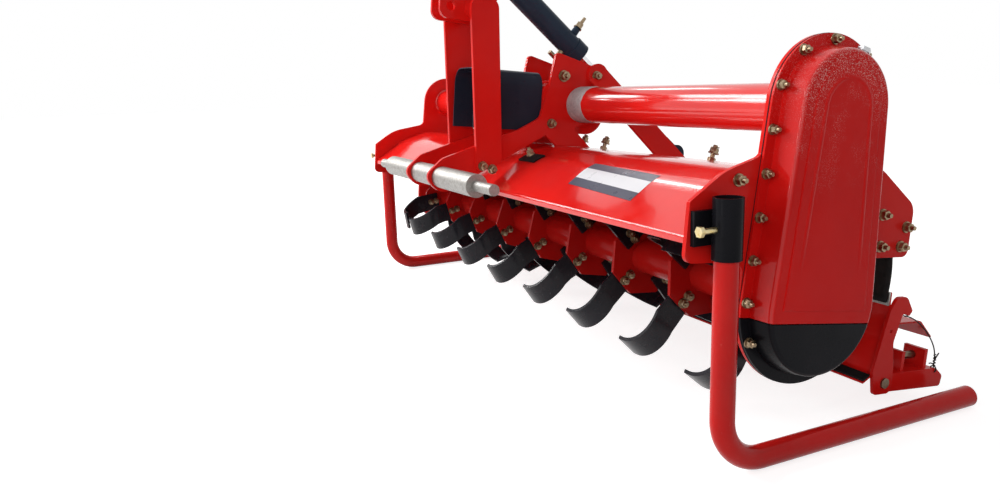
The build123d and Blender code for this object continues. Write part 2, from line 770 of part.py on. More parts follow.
def cheek():
    back = BOARD_TOP[0] + BOARD_SHEET / 2
    eye = 2 * WING_PIN_R
    hook = BOARD_TOP[0] + HOOK_REACH
    face = outline(
        (back - 8, CHEEK_TOP_Z - 34, 10),
        (back + 10, CHEEK_TOP_Z, 18),
        (back + 42, CHEEK_TOP_Z, 18),
        (hook + 10, CHEEK_TOP_Z - HOOK_DROP + 12, 6),
        (hook, CHEEK_TOP_Z - HOOK_DROP, 5),
        (hook - 20, CHEEK_TOP_Z - HOOK_DROP + 10, 8),
        (back + 16, BOARD_KNEE_Z, 30),
        (WING_PIN[0] + eye, WING_PIN[1] + 30, 16),
        (WING_PIN[0] + eye, WING_PIN[1] - 26, 14),
        (BOARD_FOLD[0] - 4, WING_PIN[1] - 26, 10),
        (BOARD_FOLD[0] - 16, BOARD_FOLD[1] + 6, 6),
    )
    face -= Pos(back + 4, CHEEK_TOP_Z - 78) * Circle(4)
    face -= Pos(*WING_PIN) * Circle(WING_PIN_R + SEAT_GAP)
    return plate_at(CHEEK_X, CHEEK, face)


def wing():
    """Folded end wing: an upright web with a shelf and a bracket for its spindle."""
    web_face = outline(
        (WING_PIN[0] - 24, WING_LOW + 4, 14),
        (WING_REAR, WING_LOW, 8),
        (WING_REAR + 4, WING_HIGH - 20, 10),
        (WING_REAR - 22, WING_HIGH, 10),
        (WING_PIN[0] - 18, WING_HIGH, 16),
    )
    web_face -= Pos(*WING_PIN) * Circle(WING_PIN_R + SEAT_GAP)
    wing_body = plate_at(WING_X, WING, web_face)
    shelf_in = WING_X - WING_SHELF
    under = WING_HIGH - WING
    wing_body += box((shelf_in, WING_X), (BRACKET_FRONT - 20, WING_REAR - 24), (under, WING_HIGH))
    ear_top = WING_HIGH + BRACKET_HEIGHT
    for y in (BRACKET_FRONT, BRACKET_REAR - BRACKET_EAR):
        wing_body += box((shelf_in + POST + 2, WING_X), (y, y + BRACKET_EAR), (under, ear_top))
    return wing_body - rod_y(SPINDLE_R + SEAT_GAP, BRACKET_FRONT - 10, BRACKET_REAR + 10, *spindle_place())


def spindle_place():
    return WING_X - WING_SHELF / 2, WING_HIGH + BRACKET_HEIGHT * 0.55


def wing_spindles():
    x, z = spindle_place()
    spindle = rod_y(SPINDLE_R, BRACKET_FRONT - 12, BRACKET_REAR + 8, x, z)
    pin = rod_x(WING_PIN_R, WING_X - 6, BOARD_HALF + 4, WING_PIN)
    pieces = [spindle, other_side(spindle), pin, other_side(pin)]
    return Compound([piece.solid() for piece in pieces])


def stiffener():
    back = BOARD_TOP[0] + BOARD_SHEET / 2 + SEAT_GAP
    line = [(back, STIFFENER_Z), (STIFFENER_REAR - 44, STIFFENER_Z), (STIFFENER_REAR, STIFFENER_Z - 40)]
    half = WING_X - STIFFENER_SHEET
    sheet = bent_sheet(-half, half, STIFFENER_SHEET, line, [12])
    return sheet - arm_slots()


def arm_slots():
    slots = [box((x - 10, x + 10), (BOARD_TOP[0], BOARD_TOP[0] + 80), (STIFFENER_Z - 60, STIFFENER_Z + 60))
             for x in hinge_stations()]
    return Compound(slots)


def posts():
    top = STIFFENER_Z - STIFFENER_SHEET / 2 - SEAT_GAP
    face = outline(
        (BRACKET_FRONT - 26, WING_HIGH + SEAT_GAP, 4),
        (BRACKET_FRONT - 8, WING_HIGH + SEAT_GAP, 4),
        (BRACKET_FRONT + POST_TOP[1], top, 4),
        (BRACKET_FRONT + POST_TOP[0], top, 4),
    )
    post = plate_at(WING_X - WING_SHELF, POST, face)
    return Compound([post.solid(), other_side(post).solid()])


def tie_wires():
    hook = (BOARD_TOP[0] + HOOK_REACH, CHEEK_TOP_Z - HOOK_DROP)
    far = (WING_REAR - 26, WING_HIGH + WIRE_R)
    x = WING_X + WING / 2
    start = Vector(x, *hook)
    end = Vector(x, *far)
    length = (end - start).length
    wire = Plane(origin=start, z_dir=end - start) * Cylinder(
        WIRE_R, length, align=(Align.CENTER, Align.CENTER, Align.MIN)
    )
    return Compound([wire.solid(), other_side(wire).solid()])


parts["rear_board"] = board_sheet()
parts["board_hinge_lugs"] = hinge_lugs()
parts["board_hinge_arms"] = hinge_arms()
parts["lift_lever"] = lift_lever()
parts["rubber_apron"] = apron()
parts["apron_strip"] = apron_strip()
parts["lip_strip"] = lip_strip()
parts["board_cheek_left"] = cheek()
parts["board_cheek_right"] = other_side(parts["board_cheek_left"])
parts["wing_left"] = wing()
parts["wing_right"] = other_side(parts["wing_left"])
parts["wing_pins"] = wing_spindles()
parts["board_stiffener"] = stiffener()
parts["stiffener_posts"] = posts()
parts["tie_wires"] = tie_wires()


# Lift cylinder, drawn along its own axis from the base eye

def cylinder_plane():
    run = Vector(0, LEVER_END[0] - CYLINDER_BASE[0], LEVER_END[1] - CYLINDER_BASE[1])
    return Plane(origin=(0, *CYLINDER_BASE), x_dir=(1, 0, 0), z_dir=run)


def cylinder_barrel():
    eye_width = TOP_LINK_GAP - 2 * HINGE_SIDE_GAP
    gland_start = BARREL_LENGTH - GLAND_LENGTH
    barrel = turned_bar(BARREL_R, BARREL_START, gland_start)
    barrel += turned_bar(GLAND_R, gland_start, BARREL_LENGTH)
    barrel += turned_bar(eye_width / 2, 0, BARREL_START)
    barrel += Rot(0, 90, 0) * Cylinder(BASE_EYE_R, eye_width)
    barrel -= Rot(0, 90, 0) * Cylinder(CYLINDER_PIN_R + RUNNING_GAP, 2 * eye_width)
    barrel -= turned_bar(BARREL_BORE_R, BARREL_START + BARREL_R / 3, gland_start)
    barrel -= turned_bar(ROD_R + RUNNING_GAP, gland_start, BARREL_LENGTH)
    return cylinder_plane() * barrel


def cylinder_port():
    start = BARREL_LENGTH - GLAND_LENGTH - 18
    boss = Plane(origin=(0, BARREL_R - 1, start), z_dir=(0, 1, 0)) * Cylinder(
        PORT_R, 30, align=(Align.CENTER, Align.CENTER, Align.MIN)
    )
    turn = Pos(0, BARREL_R + 26, start) * turned_bar(PORT_R * 0.8, -30, 6)
    return (cylinder_plane() * (boss + turn)) - parts["cylinder_barrel"]


def cylinder_rod():
    rod = turned_bar(ROD_R, BARREL_LENGTH - ROD_INSIDE, BARREL_LENGTH + ROD_SHOWN)
    return cylinder_plane() * rod


def rod_link():
    start = BARREL_LENGTH + ROD_SHOWN
    neck = CYLINDER_REACH - FORK_EYE_R - LEVER_EYE_R
    link = turned_bar(LINK_R, start, neck)
    inner = LEVER / 2 + FORK_SIDE_GAP
    width = 2 * (inner + FORK_CHEEK)
    link += Pos(0, 0, neck - 5) * Box(width, 2 * LINK_R, 20)
    for side in (-1, 1):
        x = side * (inner + FORK_CHEEK / 2)
        bar = Pos(x, 0, (neck + CYLINDER_REACH) / 2) * Box(FORK_CHEEK, 2 * LINK_R, CYLINDER_REACH - neck)
        eye = Pos(x, 0, CYLINDER_REACH) * Rot(0, 90, 0) * Cylinder(FORK_EYE_R, FORK_CHEEK)
        link += bar + eye
    link -= Pos(0, 0, CYLINDER_REACH) * Rot(0, 90, 0) * Cylinder(LEVER_PIN_R + LEVER_PIN_PLAY, 2 * width)
    return cylinder_plane() * link


parts["cylinder_barrel"] = cylinder_barrel()
parts["cylinder_port"] = cylinder_port()
parts["cylinder_rod"] = cylinder_rod()
parts["rod_link"] = rod_link()


# Stands and their sockets

def stand():
    top = (STAND_X, SOCKET_Y, STAND_TOP)
    heel = (STAND_X, SOCKET_Y, FOOT_Z)
    toe = (STAND_X, FOOT_REAR, FOOT_Z)
    line = FilletPolyline(top, heel, toe, radius=FOOT_BEND)
    ring = Circle(STAND_OD / 2) - Circle(STAND_OD / 2 - STAND_WALL)
    section = Plane(origin=line @ 0, z_dir=line % 0) * ring
    return sweep(section, path=line)


def stand_socket():
    low = SOCKET_TOP - SOCKET_LENGTH
    tube = rod_z(SOCKET_OD / 2, low, SOCKET_TOP, STAND_X, SOCKET_Y)
    middle = (low + SOCKET_TOP) / 2
    pad = box(
        (OUTER, OUTER + SOCKET_PAD + 3),
        (SOCKET_Y + SOCKET_OD / 2 - PAD_LENGTH, SOCKET_Y + SOCKET_OD / 2),
        (middle - PAD_HEIGHT / 2, middle + PAD_HEIGHT / 2),
    )
    socket = tube + pad - rod_z(STAND_OD / 2 + STAND_PLAY, low, SOCKET_TOP, STAND_X, SOCKET_Y)
    return socket - rod_y(SCREW_R + SEAT_GAP, SOCKET_Y - SOCKET_OD, SOCKET_Y, STAND_X, screw_z())


def screw_z():
    return SOCKET_TOP - SOCKET_LENGTH / 2


def set_screws():
    tip = SOCKET_Y - STAND_OD / 2 - STAND_PLAY / 2
    shank = rod_y(SCREW_R, tip - SCREW_LENGTH, tip, STAND_X, screw_z())
    head = extrude(RegularPolygon(SCREW_R * 1.8, 6), SCREW_HEAD)
    screw = shank + Pos(STAND_X, tip - SCREW_LENGTH, screw_z()) * Rot(90, 0, 0) * head
    return Compound([screw.solid(), other_side(screw).solid()])


parts["stand_left"] = stand()
parts["stand_right"] = other_side(parts["stand_left"])
parts["stand_socket_left"] = stand_socket()
parts["stand_socket_right"] = other_side(parts["stand_socket_left"])
parts["socket_screws"] = set_screws()


# The machine is pitched about the rotor axis between its upright stands. The
# middle of the footprint becomes the origin, with the floor at zero

UPRIGHT = ("stand_left", "stand_right", "stand_socket_left", "stand_socket_right", "socket_screws")
pitch = Rot(-PARKED_PITCH, 0, 0)
for name, shape in parts.items():
    if name not in UPRIGHT:
        parts[name] = pitch * shape

whole = Compound(list(parts.values())).bounding_box()
to_origin = Pos(-whole.center().X, -whole.center().Y, ROTOR_HEIGHT)

os.makedirs("parts", exist_ok=True)
for name, shape in parts.items():
    export_step(to_origin * shape, f"parts/{name}.step")
print("moved by", to_origin.position, "size", whole.size)
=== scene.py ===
"""Looks of a tractor-mounted rotary tiller, parked on its two pipe stands."""
import json
from math import asin, atan2, cos, hypot, pi, radians, sin, sqrt, tan

import bmesh
import bpy
from mathutils import Matrix, Vector
from mathutils import noise as lattice


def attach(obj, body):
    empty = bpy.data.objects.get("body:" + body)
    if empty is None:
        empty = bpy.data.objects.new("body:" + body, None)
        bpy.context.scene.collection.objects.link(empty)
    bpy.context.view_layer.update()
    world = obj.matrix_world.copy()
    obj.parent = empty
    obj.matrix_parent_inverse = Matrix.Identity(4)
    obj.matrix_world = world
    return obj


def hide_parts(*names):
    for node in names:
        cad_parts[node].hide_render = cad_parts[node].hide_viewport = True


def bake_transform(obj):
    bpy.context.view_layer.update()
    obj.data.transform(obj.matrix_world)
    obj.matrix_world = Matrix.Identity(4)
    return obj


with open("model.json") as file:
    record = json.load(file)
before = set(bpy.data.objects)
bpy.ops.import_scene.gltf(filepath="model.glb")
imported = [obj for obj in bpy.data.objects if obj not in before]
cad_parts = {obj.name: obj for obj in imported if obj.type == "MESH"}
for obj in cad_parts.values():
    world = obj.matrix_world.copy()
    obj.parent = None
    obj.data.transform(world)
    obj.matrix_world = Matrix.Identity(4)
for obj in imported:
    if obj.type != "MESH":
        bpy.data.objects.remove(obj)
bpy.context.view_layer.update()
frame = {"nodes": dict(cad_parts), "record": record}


# Datum of the machine. The drawings measure from the rotor axis with the machine level,
# and it parks with its front end up, so places are turned about that axis into the frame.
joints = {joint["name"]: joint for joint in frame["record"]["behaviour"]["joints"]}
rotor_axis = Vector(joints["rotor_spin"]["pos_m"])
drive_line = Vector(joints["pto_spin"]["axis"])
parked_pitch = atan2(-drive_line.z, drive_line.y)
level_to_parked = Matrix.Translation(rotor_axis) @ Matrix.Rotation(-parked_pitch, 4, "X")
to_left = Vector((1, 0, 0))


def on_machine(x, y, z):
    """A place from the rotor axis: x to the chain case, y to the rear, z up, machine level."""
    return level_to_parked @ Vector((x, y, z))


def turned(x, y, z):
    """A direction of the level machine, in the frame."""
    return level_to_parked.to_3x3() @ Vector((x, y, z))


# Camera. It stands ahead of the chain-case corner at about chest height with a wide lens,
# as in the right-hand view of the photograph.
camera_from_rotor = Vector((2.142, -1.196, 0.451))
camera_azimuth = radians(65.2)
camera_elevation = radians(11.84)
camera_roll = radians(-1.83)
focal_pixels = 782.0
image_width = 1000
sensor_width = 36.0

camera_data = bpy.data.cameras.new("camera")
camera_data.sensor_width = sensor_width
camera_data.lens = focal_pixels / image_width * sensor_width
camera_data.clip_start = 0.01
camera = bpy.data.objects.new("camera", camera_data)
bpy.context.collection.objects.link(camera)
camera.matrix_world = (
    Matrix.Translation(rotor_axis + camera_from_rotor)
    @ Matrix.Rotation(camera_azimuth, 4, "Z")
    @ Matrix.Rotation(pi / 2 - camera_elevation, 4, "X")
    @ Matrix.Rotation(camera_roll, 4, "Z")
)
bpy.context.scene.camera = camera
bpy.context.scene.view_settings.view_transform = "Standard"


# Studio. A floor that looks white and a white surround. A broad lamp lights the front, a
# weak one the chain-case side, and strips draw bright bands on the beam, folds and case.
floor_reach = 40.0
floor_grey = (0.50, 0.50, 0.50, 1)
floor_glow = 0.79
surround_strength = 0.40
# Each lamp: the place it hangs at, a place it points to, its width and height, and its watts.
lamps = {
    "front_lamp": ((-5.8, -6.8, 6.2), (-2.9, -3.4, 3.35), (4.4, 4.4), 620),
    "fill_lamp": ((3.2, -2.2, 1.8), (0.9, 0, 0.45), (2.0, 2.0), 13),
    "beam_strip": ((-3.54, -1.69, 3.39), (-3.54, -0.84, 2.04), (3.8, 0.9), 108),
    "fold_strip": ((-4.68, -2.46, 2.5), (-4.68, -1.37, 1.47), (5.0, 0.2), 72),
    "edge_strip": ((1.25, -3.0, 1.55), (1.05, -0.10, 1.30), (0.06, 2.8), 20),
    "ridge_strip": ((-1.90, 0.68, 2.50), (-1.90, -0.20, 0.545), (0.75, 0.22), 6),
}


def add_node(tree, kind, values=None, **settings):
    """A node with its settings and the values of its inputs."""
    made = tree.nodes.new(kind)
    for key, value in settings.items():
        setattr(made, key, value)
    for key, value in (values or {}).items():
        made.inputs[key].default_value = value
    return made


def seen_directly(tree):
    """One for rays from the camera, in mirrors and through glass, nothing for light on the object."""
    path = add_node(tree, "ShaderNodeLightPath")
    first = add_node(tree, "ShaderNodeMath", operation="MAXIMUM")
    second = add_node(tree, "ShaderNodeMath", operation="MAXIMUM")
    tree.links.new(path.outputs["Is Camera Ray"], first.inputs[0])
    tree.links.new(path.outputs["Is Glossy Ray"], first.inputs[1])
    tree.links.new(first.outputs[0], second.inputs[0])
    tree.links.new(path.outputs["Is Transmission Ray"], second.inputs[1])
    return second.outputs[0]


floor_mesh = bpy.data.meshes.new("floor")
floor_form = bmesh.new()
bmesh.ops.create_grid(floor_form, x_segments=1, y_segments=1, size=floor_reach)
floor_form.to_mesh(floor_mesh)
floor_form.free()
floor = bpy.data.objects.new("floor", floor_mesh)
bpy.context.collection.objects.link(floor)
floor_finish = bpy.data.materials.new("studio_floor")
floor_finish.use_nodes = True
floor_tree = floor_finish.node_tree
floor_shader = floor_tree.nodes["Principled BSDF"]
floor_shader.inputs["Base Color"].default_value = floor_grey
floor_shader.inputs["Roughness"].default_value = 0.9
floor_shader.inputs["Specular IOR Level"].default_value = 0.05
floor_shader.inputs["Emission Color"].default_value = (1, 1, 1, 1)
glow = add_node(floor_tree, "ShaderNodeMath", {1: floor_glow}, operation="MULTIPLY")
floor_tree.links.new(seen_directly(floor_tree), glow.inputs[0])
floor_tree.links.new(glow.outputs[0], floor_shader.inputs["Emission Strength"])
floor_mesh.materials.append(floor_finish)

world = bpy.data.worlds.new("studio")
bpy.context.scene.world = world
world.use_nodes = True
sky = world.node_tree
sky.nodes.clear()
dim = add_node(sky, "ShaderNodeBackground", {"Color": (1, 1, 1, 1), "Strength": surround_strength})
white = add_node(sky, "ShaderNodeBackground", {"Color": (1, 1, 1, 1), "Strength": 1.0})
choose = add_node(sky, "ShaderNodeMixShader")
sky.links.new(seen_directly(sky), choose.inputs[0])
sky.links.new(dim.outputs[0], choose.inputs[1])
sky.links.new(white.outputs[0], choose.inputs[2])
sky.links.new(choose.outputs[0], add_node(sky, "ShaderNodeOutputWorld").inputs[0])

for lamp_name, (hung_at, pointed_to, lamp_size, watts) in lamps.items():
    lamp_data = bpy.data.lights.new(lamp_name, "AREA")
    lamp_data.shape = "RECTANGLE"
    lamp_data.size, lamp_data.size_y = lamp_size
    lamp_data.energy = watts
    lamp_object = bpy.data.objects.new(lamp_name, lamp_data)
    backward = (Vector(hung_at) - Vector(pointed_to)).normalized()
    along = (to_left - backward * backward.x).normalized()
    facing = Matrix((along, backward.cross(along), backward)).transposed().to_4x4()
    lamp_object.matrix_world = Matrix.Translation(hung_at) @ facing
    lamp_object.visible_camera = False
    bpy.context.collection.objects.link(lamp_object)


# Main beam: thick round tube in two halves, welded to the headstock and the side plates.
# Gloss orange-red paint all over. At the headstock a wide collar of weld metal is left
# bare and brushed, and a bead of weld runs round the outer end.
paint_red = (0.78, 0.016, 0.012, 1)
paint_red_deep = (0.68, 0.010, 0.008, 1)
weld_grey = (0.17, 0.125, 0.13, 1)
weld_pale = (0.46, 0.41, 0.41, 1)
shop_dust = (0.42, 0.34, 0.29, 1)
red_peel = 520.0
half_width = 1.0
plate_thickness = 0.010
beam_radius = 0.051
beam_back = -0.005
beam_rise = 0.390
headstock_face = 0.095
collar_end = 0.178
collar_passes = 5
collar_steps = 20
collar_crown = 0.0016
collar_ragged = 0.004
collar_foot = 0.0003
collar_sink = 0.0006
collar_grain = 60
weld_bead = 0.0045


def new_group(name, inputs, outputs):
    """A shader node group with its sockets, and its own input and output nodes."""
    group = bpy.data.node_groups.new(name, "ShaderNodeTree")
    for label, kind in inputs.items():
        group.interface.new_socket(label, in_out="INPUT", socket_type="NodeSocket" + kind)
    for label, kind in outputs.items():
        group.interface.new_socket(label, in_out="OUTPUT", socket_type="NodeSocket" + kind)
    return group, group.nodes.new("NodeGroupInput"), group.nodes.new("NodeGroupOutput")


def feed(tree, socket, given):
    """Sets a socket from another socket or from a plain value."""
    if isinstance(given, bpy.types.NodeSocket):
        tree.links.new(given, socket)
    else:
        socket.default_value = given


def mix_colour(tree, factor, first, second):
    """A colour mix; each of the three is a socket or a value."""
    mix = add_node(tree, "ShaderNodeMix", data_type="RGBA")
    for number, given in ((0, factor), (6, first), (7, second)):
        feed(tree, mix.inputs[number], given)
    return mix.outputs[2]


def mix_value(tree, factor, first, second):
    """A mix of two numbers; each of the three is a socket or a value."""
    mix = add_node(tree, "ShaderNodeMix", data_type="FLOAT")
    for number, given in ((0, factor), (2, first), (3, second)):
        feed(tree, mix.inputs[number], given)
    return mix.outputs[0]


def reckon(tree, operation, first, second):
    """One sum or product of two numbers, each a socket or a value."""
    made = add_node(tree, "ShaderNodeMath", operation=operation)
    feed(tree, made.inputs[0], first)
    feed(tree, made.inputs[1], second)
    return made.outputs[0]


def noise(tree, scale, detail=3.0, rough=0.55):
    """Noise over the piece's own coordinates."""
    place = add_node(tree, "ShaderNodeTexCoord")
    made = add_node(tree, "ShaderNodeTexNoise", {"Detail": detail, "Roughness": rough})
    tree.links.new(place.outputs["Object"], made.inputs["Vector"])
    feed(tree, made.inputs["Scale"], scale)
    return made.outputs["Fac"]


def ramp(tree, value, low, high, at_low=0.0, at_high=1.0):
    """A clamped ramp of a value."""
    made = add_node(tree, "ShaderNodeMapRange", {
        "From Min": low, "From Max": high, "To Min": at_low, "To Max": at_high,
    })
    tree.links.new(value, made.inputs["Value"])
    return made.outputs[0]


def make_paint_film():
    """Sprayed paint: slow drift of colour, patches of gloss and a fine orange peel."""
    group, given, out = new_group(
        "paint_film",
        {"Paint": "Color", "Deep": "Color", "Gloss": "Float", "Peel Scale": "Float"},
        {"Colour": "Color", "Roughness": "Float", "Height": "Float"},
    )
    drift = ramp(group, noise(group, 3.2, 4.0), 0.36, 0.66)
    colour = mix_colour(group, drift, given.outputs["Paint"], given.outputs["Deep"])
    group.links.new(colour, out.inputs["Colour"])
    patch = ramp(group, noise(group, 24.0, 4.0), 0.3, 0.7, -0.05, 0.07)
    group.links.new(reckon(group, "ADD", patch, given.outputs["Gloss"]), out.inputs["Roughness"])
    group.links.new(noise(group, given.outputs["Peel Scale"], 2.0), out.inputs["Height"])
    return group


def make_dust_film():
    """Dry shop dust that lies thicker low down on the machine."""
    group, given, out = new_group(
        "dust_film",
        {"Colour": "Color", "Roughness": "Float", "Dust": "Color", "Amount": "Float"},
        {"Colour": "Color", "Roughness": "Float"},
    )
    place = add_node(group, "ShaderNodeTexCoord")
    split = add_node(group, "ShaderNodeSeparateXYZ")
    group.links.new(place.outputs["Object"], split.inputs[0])
    low_down = ramp(group, split.outputs["Z"], 0.05, 0.75, 1.0, 0.35)
    cloud = ramp(group, noise(group, 13.0, 8.0, 0.62), 0.42, 0.78)
    mask = reckon(group, "MULTIPLY", reckon(group, "MULTIPLY", low_down, cloud), given.outputs["Amount"])
    colour = mix_colour(group, mask, given.outputs["Colour"], given.outputs["Dust"])
    group.links.new(colour, out.inputs["Colour"])
    group.links.new(mix_value(group, mask, given.outputs["Roughness"], 0.85), out.inputs["Roughness"])
    return group


def make_rubs():
    """Short rub marks, where a paler layer shows through a coat."""
    group, given, out = new_group(
        "rub_marks",
        {"Colour": "Color", "Roughness": "Float", "Under": "Color", "Amount": "Float"},
        {"Colour": "Color", "Roughness": "Float"},
    )
    place = add_node(group, "ShaderNodeTexCoord")
    stretch = add_node(group, "ShaderNodeMapping", {"Scale": (30.0, 170.0, 60.0)})
    marks = add_node(group, "ShaderNodeTexNoise", {"Scale": 1.0, "Detail": 6.0, "Roughness": 0.7})
    group.links.new(place.outputs["Object"], stretch.inputs[0])
    group.links.new(stretch.outputs[0], marks.inputs["Vector"])
    edge = ramp(group, marks.outputs["Fac"], 0.60, 0.72)
    patches = ramp(group, noise(group, 7.0, 3.0), 0.48, 0.62)
    mask = reckon(group, "MULTIPLY", reckon(group, "MULTIPLY", edge, patches), given.outputs["Amount"])
    colour = mix_colour(group, mask, given.outputs["Colour"], given.outputs["Under"])
    group.links.new(colour, out.inputs["Colour"])
    group.links.new(mix_value(group, mask, given.outputs["Roughness"], 0.38), out.inputs["Roughness"])
    return group


paint_film = make_paint_film()
dust_film = make_dust_film()
rub_marks = make_rubs()


def use_group(tree, group, **values):
    """A group placed in a material; each value is a socket or a number. Underscores stand for spaces."""
    made = add_node(tree, "ShaderNodeGroup", node_tree=group)
    for key, value in values.items():
        feed(tree, made.inputs[key.replace("_", " ")], value)
    return made


def new_material(name, **sockets):
    """A material, its node tree and its shader, with the shader's fixed values set."""
    material = bpy.data.materials.new(name)
    material.use_nodes = True
    shader = material.node_tree.nodes["Principled BSDF"]
    for key, value in sockets.items():
        shader.inputs[key.replace("_", " ")].default_value = value
    return material, material.node_tree, shader


def bump(tree, shader, height, strength, distance, rounding=0.0):
    """Feeds a height to the shader's normal, over edges rounded as a coat of paint rounds them."""
    made = add_node(tree, "ShaderNodeBump", {"Strength": strength, "Distance": distance})
    tree.links.new(height, made.inputs["Height"])
    if rounding:
        soft_edge = add_node(tree, "ShaderNodeBevel", {"Radius": rounding}, samples=4)
        tree.links.new(soft_edge.outputs[0], made.inputs["Normal"])
    tree.links.new(made.outputs[0], shader.inputs["Normal"])


def sprayed(name, paint, deep, gloss, shine, coat, peel, peel_depth, dust, rubs=0.0, under=None):
    """A sprayed coat of paint with a few rub marks and a little dust on it."""
    material, tree, shader = new_material(
        name, Specular_IOR_Level=shine, Coat_Weight=coat, Coat_Roughness=0.05,
    )
    coated = use_group(tree, paint_film, Paint=paint, Deep=deep, Gloss=gloss, Peel_Scale=peel)
    height = coated.outputs["Height"]
    if rubs:
        coated = use_group(
            tree, rub_marks, Colour=coated.outputs["Colour"], Roughness=coated.outputs["Roughness"],
            Under=under, Amount=rubs,
        )
    dusty = use_group(
        tree, dust_film, Colour=coated.outputs["Colour"], Roughness=coated.outputs["Roughness"],
        Dust=shop_dust, Amount=dust,
    )
    tree.links.new(dusty.outputs["Colour"], shader.inputs["Base Color"])
    tree.links.new(dusty.outputs["Roughness"], shader.inputs["Roughness"])
    bump(tree, shader, height, strength=peel_depth, distance=0.0006, rounding=0.0016)
    return material


def dress(material, *nodes):
    """Gives CAD nodes their finish."""
    for name in nodes:
        mesh = frame["nodes"][name].data
        mesh.materials.clear()
        mesh.materials.append(material)


def new_piece(name, form, material, body, crease=35):
    """A finished piece from a bmesh, riding on a body."""
    for face in form.faces:
        face.smooth = True
    mesh = bpy.data.meshes.new(name)
    form.to_mesh(mesh)
    form.free()
    mesh.set_sharp_from_angle(angle=radians(crease))
    mesh.materials.append(material)
    piece = bpy.data.objects.new(name, mesh)
    bpy.context.collection.objects.link(piece)
    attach(piece, body)
    return piece


def add_ring(form, centre, axis, ring_radius, bead_radius, steps=48, sides=8):
    """A bead of round section swept round an axis."""
    across = axis.orthogonal().normalized()
    circle = bmesh.ops.create_circle(form, segments=sides, radius=bead_radius)["verts"]
    facing = Matrix((across, axis, across.cross(axis))).transposed().to_4x4()
    bmesh.ops.transform(form, matrix=Matrix.Translation(centre + across * ring_radius) @ facing, verts=circle)
    edges = list({edge for vert in circle for edge in vert.link_edges})
    bmesh.ops.spin(
        form, geom=circle + edges, cent=centre, axis=axis, angle=2 * pi, steps=steps, use_merge=True,
    )


def close_up(form):
    """Merges the seams of swept shapes and turns their faces outwards."""
    bmesh.ops.remove_doubles(form, verts=form.verts, dist=1e-5)
    bmesh.ops.recalc_face_normals(form, faces=form.faces)


def weld_metal():
    """Bare weld metal, wire-brushed round the tube."""
    material, tree, shader = new_material("brushed_weld_metal", Specular_IOR_Level=0.3)
    streaks = noise(tree, 210.0, 6.0, 0.7)
    patches = ramp(tree, noise(tree, 32.0, 5.0), 0.3, 0.7)
    worn = mix_colour(tree, ramp(tree, streaks, 0.35, 0.68), weld_grey, weld_pale)
    tree.links.new(mix_colour(tree, patches, worn, weld_pale), shader.inputs["Base Color"])
    tree.links.new(mix_value(tree, patches, 0.7, 0.45), shader.inputs["Roughness"])
    bump(tree, shader, streaks, strength=0.5, distance=0.0012)
    return material


red_gloss = sprayed(
    "red_gloss", paint_red, paint_red_deep, gloss=0.13, shine=0.42, coat=0.42,
    peel=red_peel, peel_depth=0.14, dust=0.03,
)
dress(red_gloss, "main_beam_left", "main_beam_right")
beads = bmesh.new()
collars = bmesh.new()
for side in (-1, 1):
    centre = on_machine(side * (half_width - weld_bead / 2), beam_back, beam_rise)
    add_ring(beads, centre, to_left, beam_radius, weld_bead)
    profile = []
    for step in range(collar_steps + 1):
        share = step / collar_steps
        crown = collar_crown * abs(sin(pi * share * collar_passes)) + collar_foot
        if step == collar_steps:
            crown = -collar_sink
        x = side * (headstock_face + share * (collar_end - headstock_face))
        profile.append(collars.verts.new(on_machine(x, beam_back, beam_rise + beam_radius + crown)))
    edges = [collars.edges.new(pair) for pair in zip(profile, profile[1:])]
    bmesh.ops.spin(
        collars, geom=profile + edges, cent=on_machine(0, beam_back, beam_rise), axis=to_left,
        angle=2 * pi, steps=72, use_merge=True,
    )
for vert in collars.verts:
    reach = (abs(vert.co.x) - headstock_face) / (collar_end - headstock_face)
    vert.co.x *= 1 + collar_ragged / collar_end * reach * lattice.noise(vert.co * collar_grain)
close_up(beads)
close_up(collars)
new_piece("beam_weld_beads", beads, red_gloss, "frame")
new_piece("beam_weld_collars", collars, weld_metal(), "frame", crease=60)


# Hood: one bent sheet from side plate to side plate, sprayed like the beam. A striped
# vinyl label with no words lies over its front bend, and a rubber cover plate is bolted on
# each side of the headstock.
hood_fold = (-0.303, 0.138)
hood_knee = (-0.196, 0.226)
hood_bend = 0.160
hood_bend_turn = radians(18.8)
hood_skin = 0.0022
label_from, label_to = 0.464, 0.750
label_low, label_high = 0.0655, 0.159
label_tilt = 0.015
label_band = 0.29
label_lift = 0.0004
vinyl_grey = (0.050, 0.058, 0.090, 1)
vinyl_grey_pale = (0.062, 0.070, 0.104, 1)
vinyl_white = (0.78, 0.78, 0.80, 1)
vinyl_white_deep = (0.70, 0.70, 0.73, 1)
satin_black = (0.0055, 0.0055, 0.0075, 1)
satin_black_pale = (0.009, 0.009, 0.012, 1)
cover_black = (0.008, 0.008, 0.009, 1)
cover_black_pale = (0.014, 0.014, 0.014, 1)
cover_x = 0.152
cover_way = 0.150
cover_size = (0.094, 0.050, 0.005)
cover_edge = 0.0014
cover_bolt_x, cover_bolt_way = 0.130, 0.156
zinc_brown = (0.22, 0.150, 0.090, 1)
zinc_pale = (0.36, 0.285, 0.19, 1)

slope = Vector((0, hood_knee[0] - hood_fold[0], hood_knee[1] - hood_fold[1]))
flat_length = slope.length - hood_bend * tan(hood_bend_turn / 2)
slope.normalize()
slope_out = Vector((0, -slope.z, slope.y))


def hood_out(way):
    """The hood's outward direction, some way up from its front fold over the first bend."""
    turn = min(max(way - flat_length, 0) / (hood_bend + hood_skin), hood_bend_turn)
    return Matrix.Rotation(-turn, 3, "X") @ slope_out


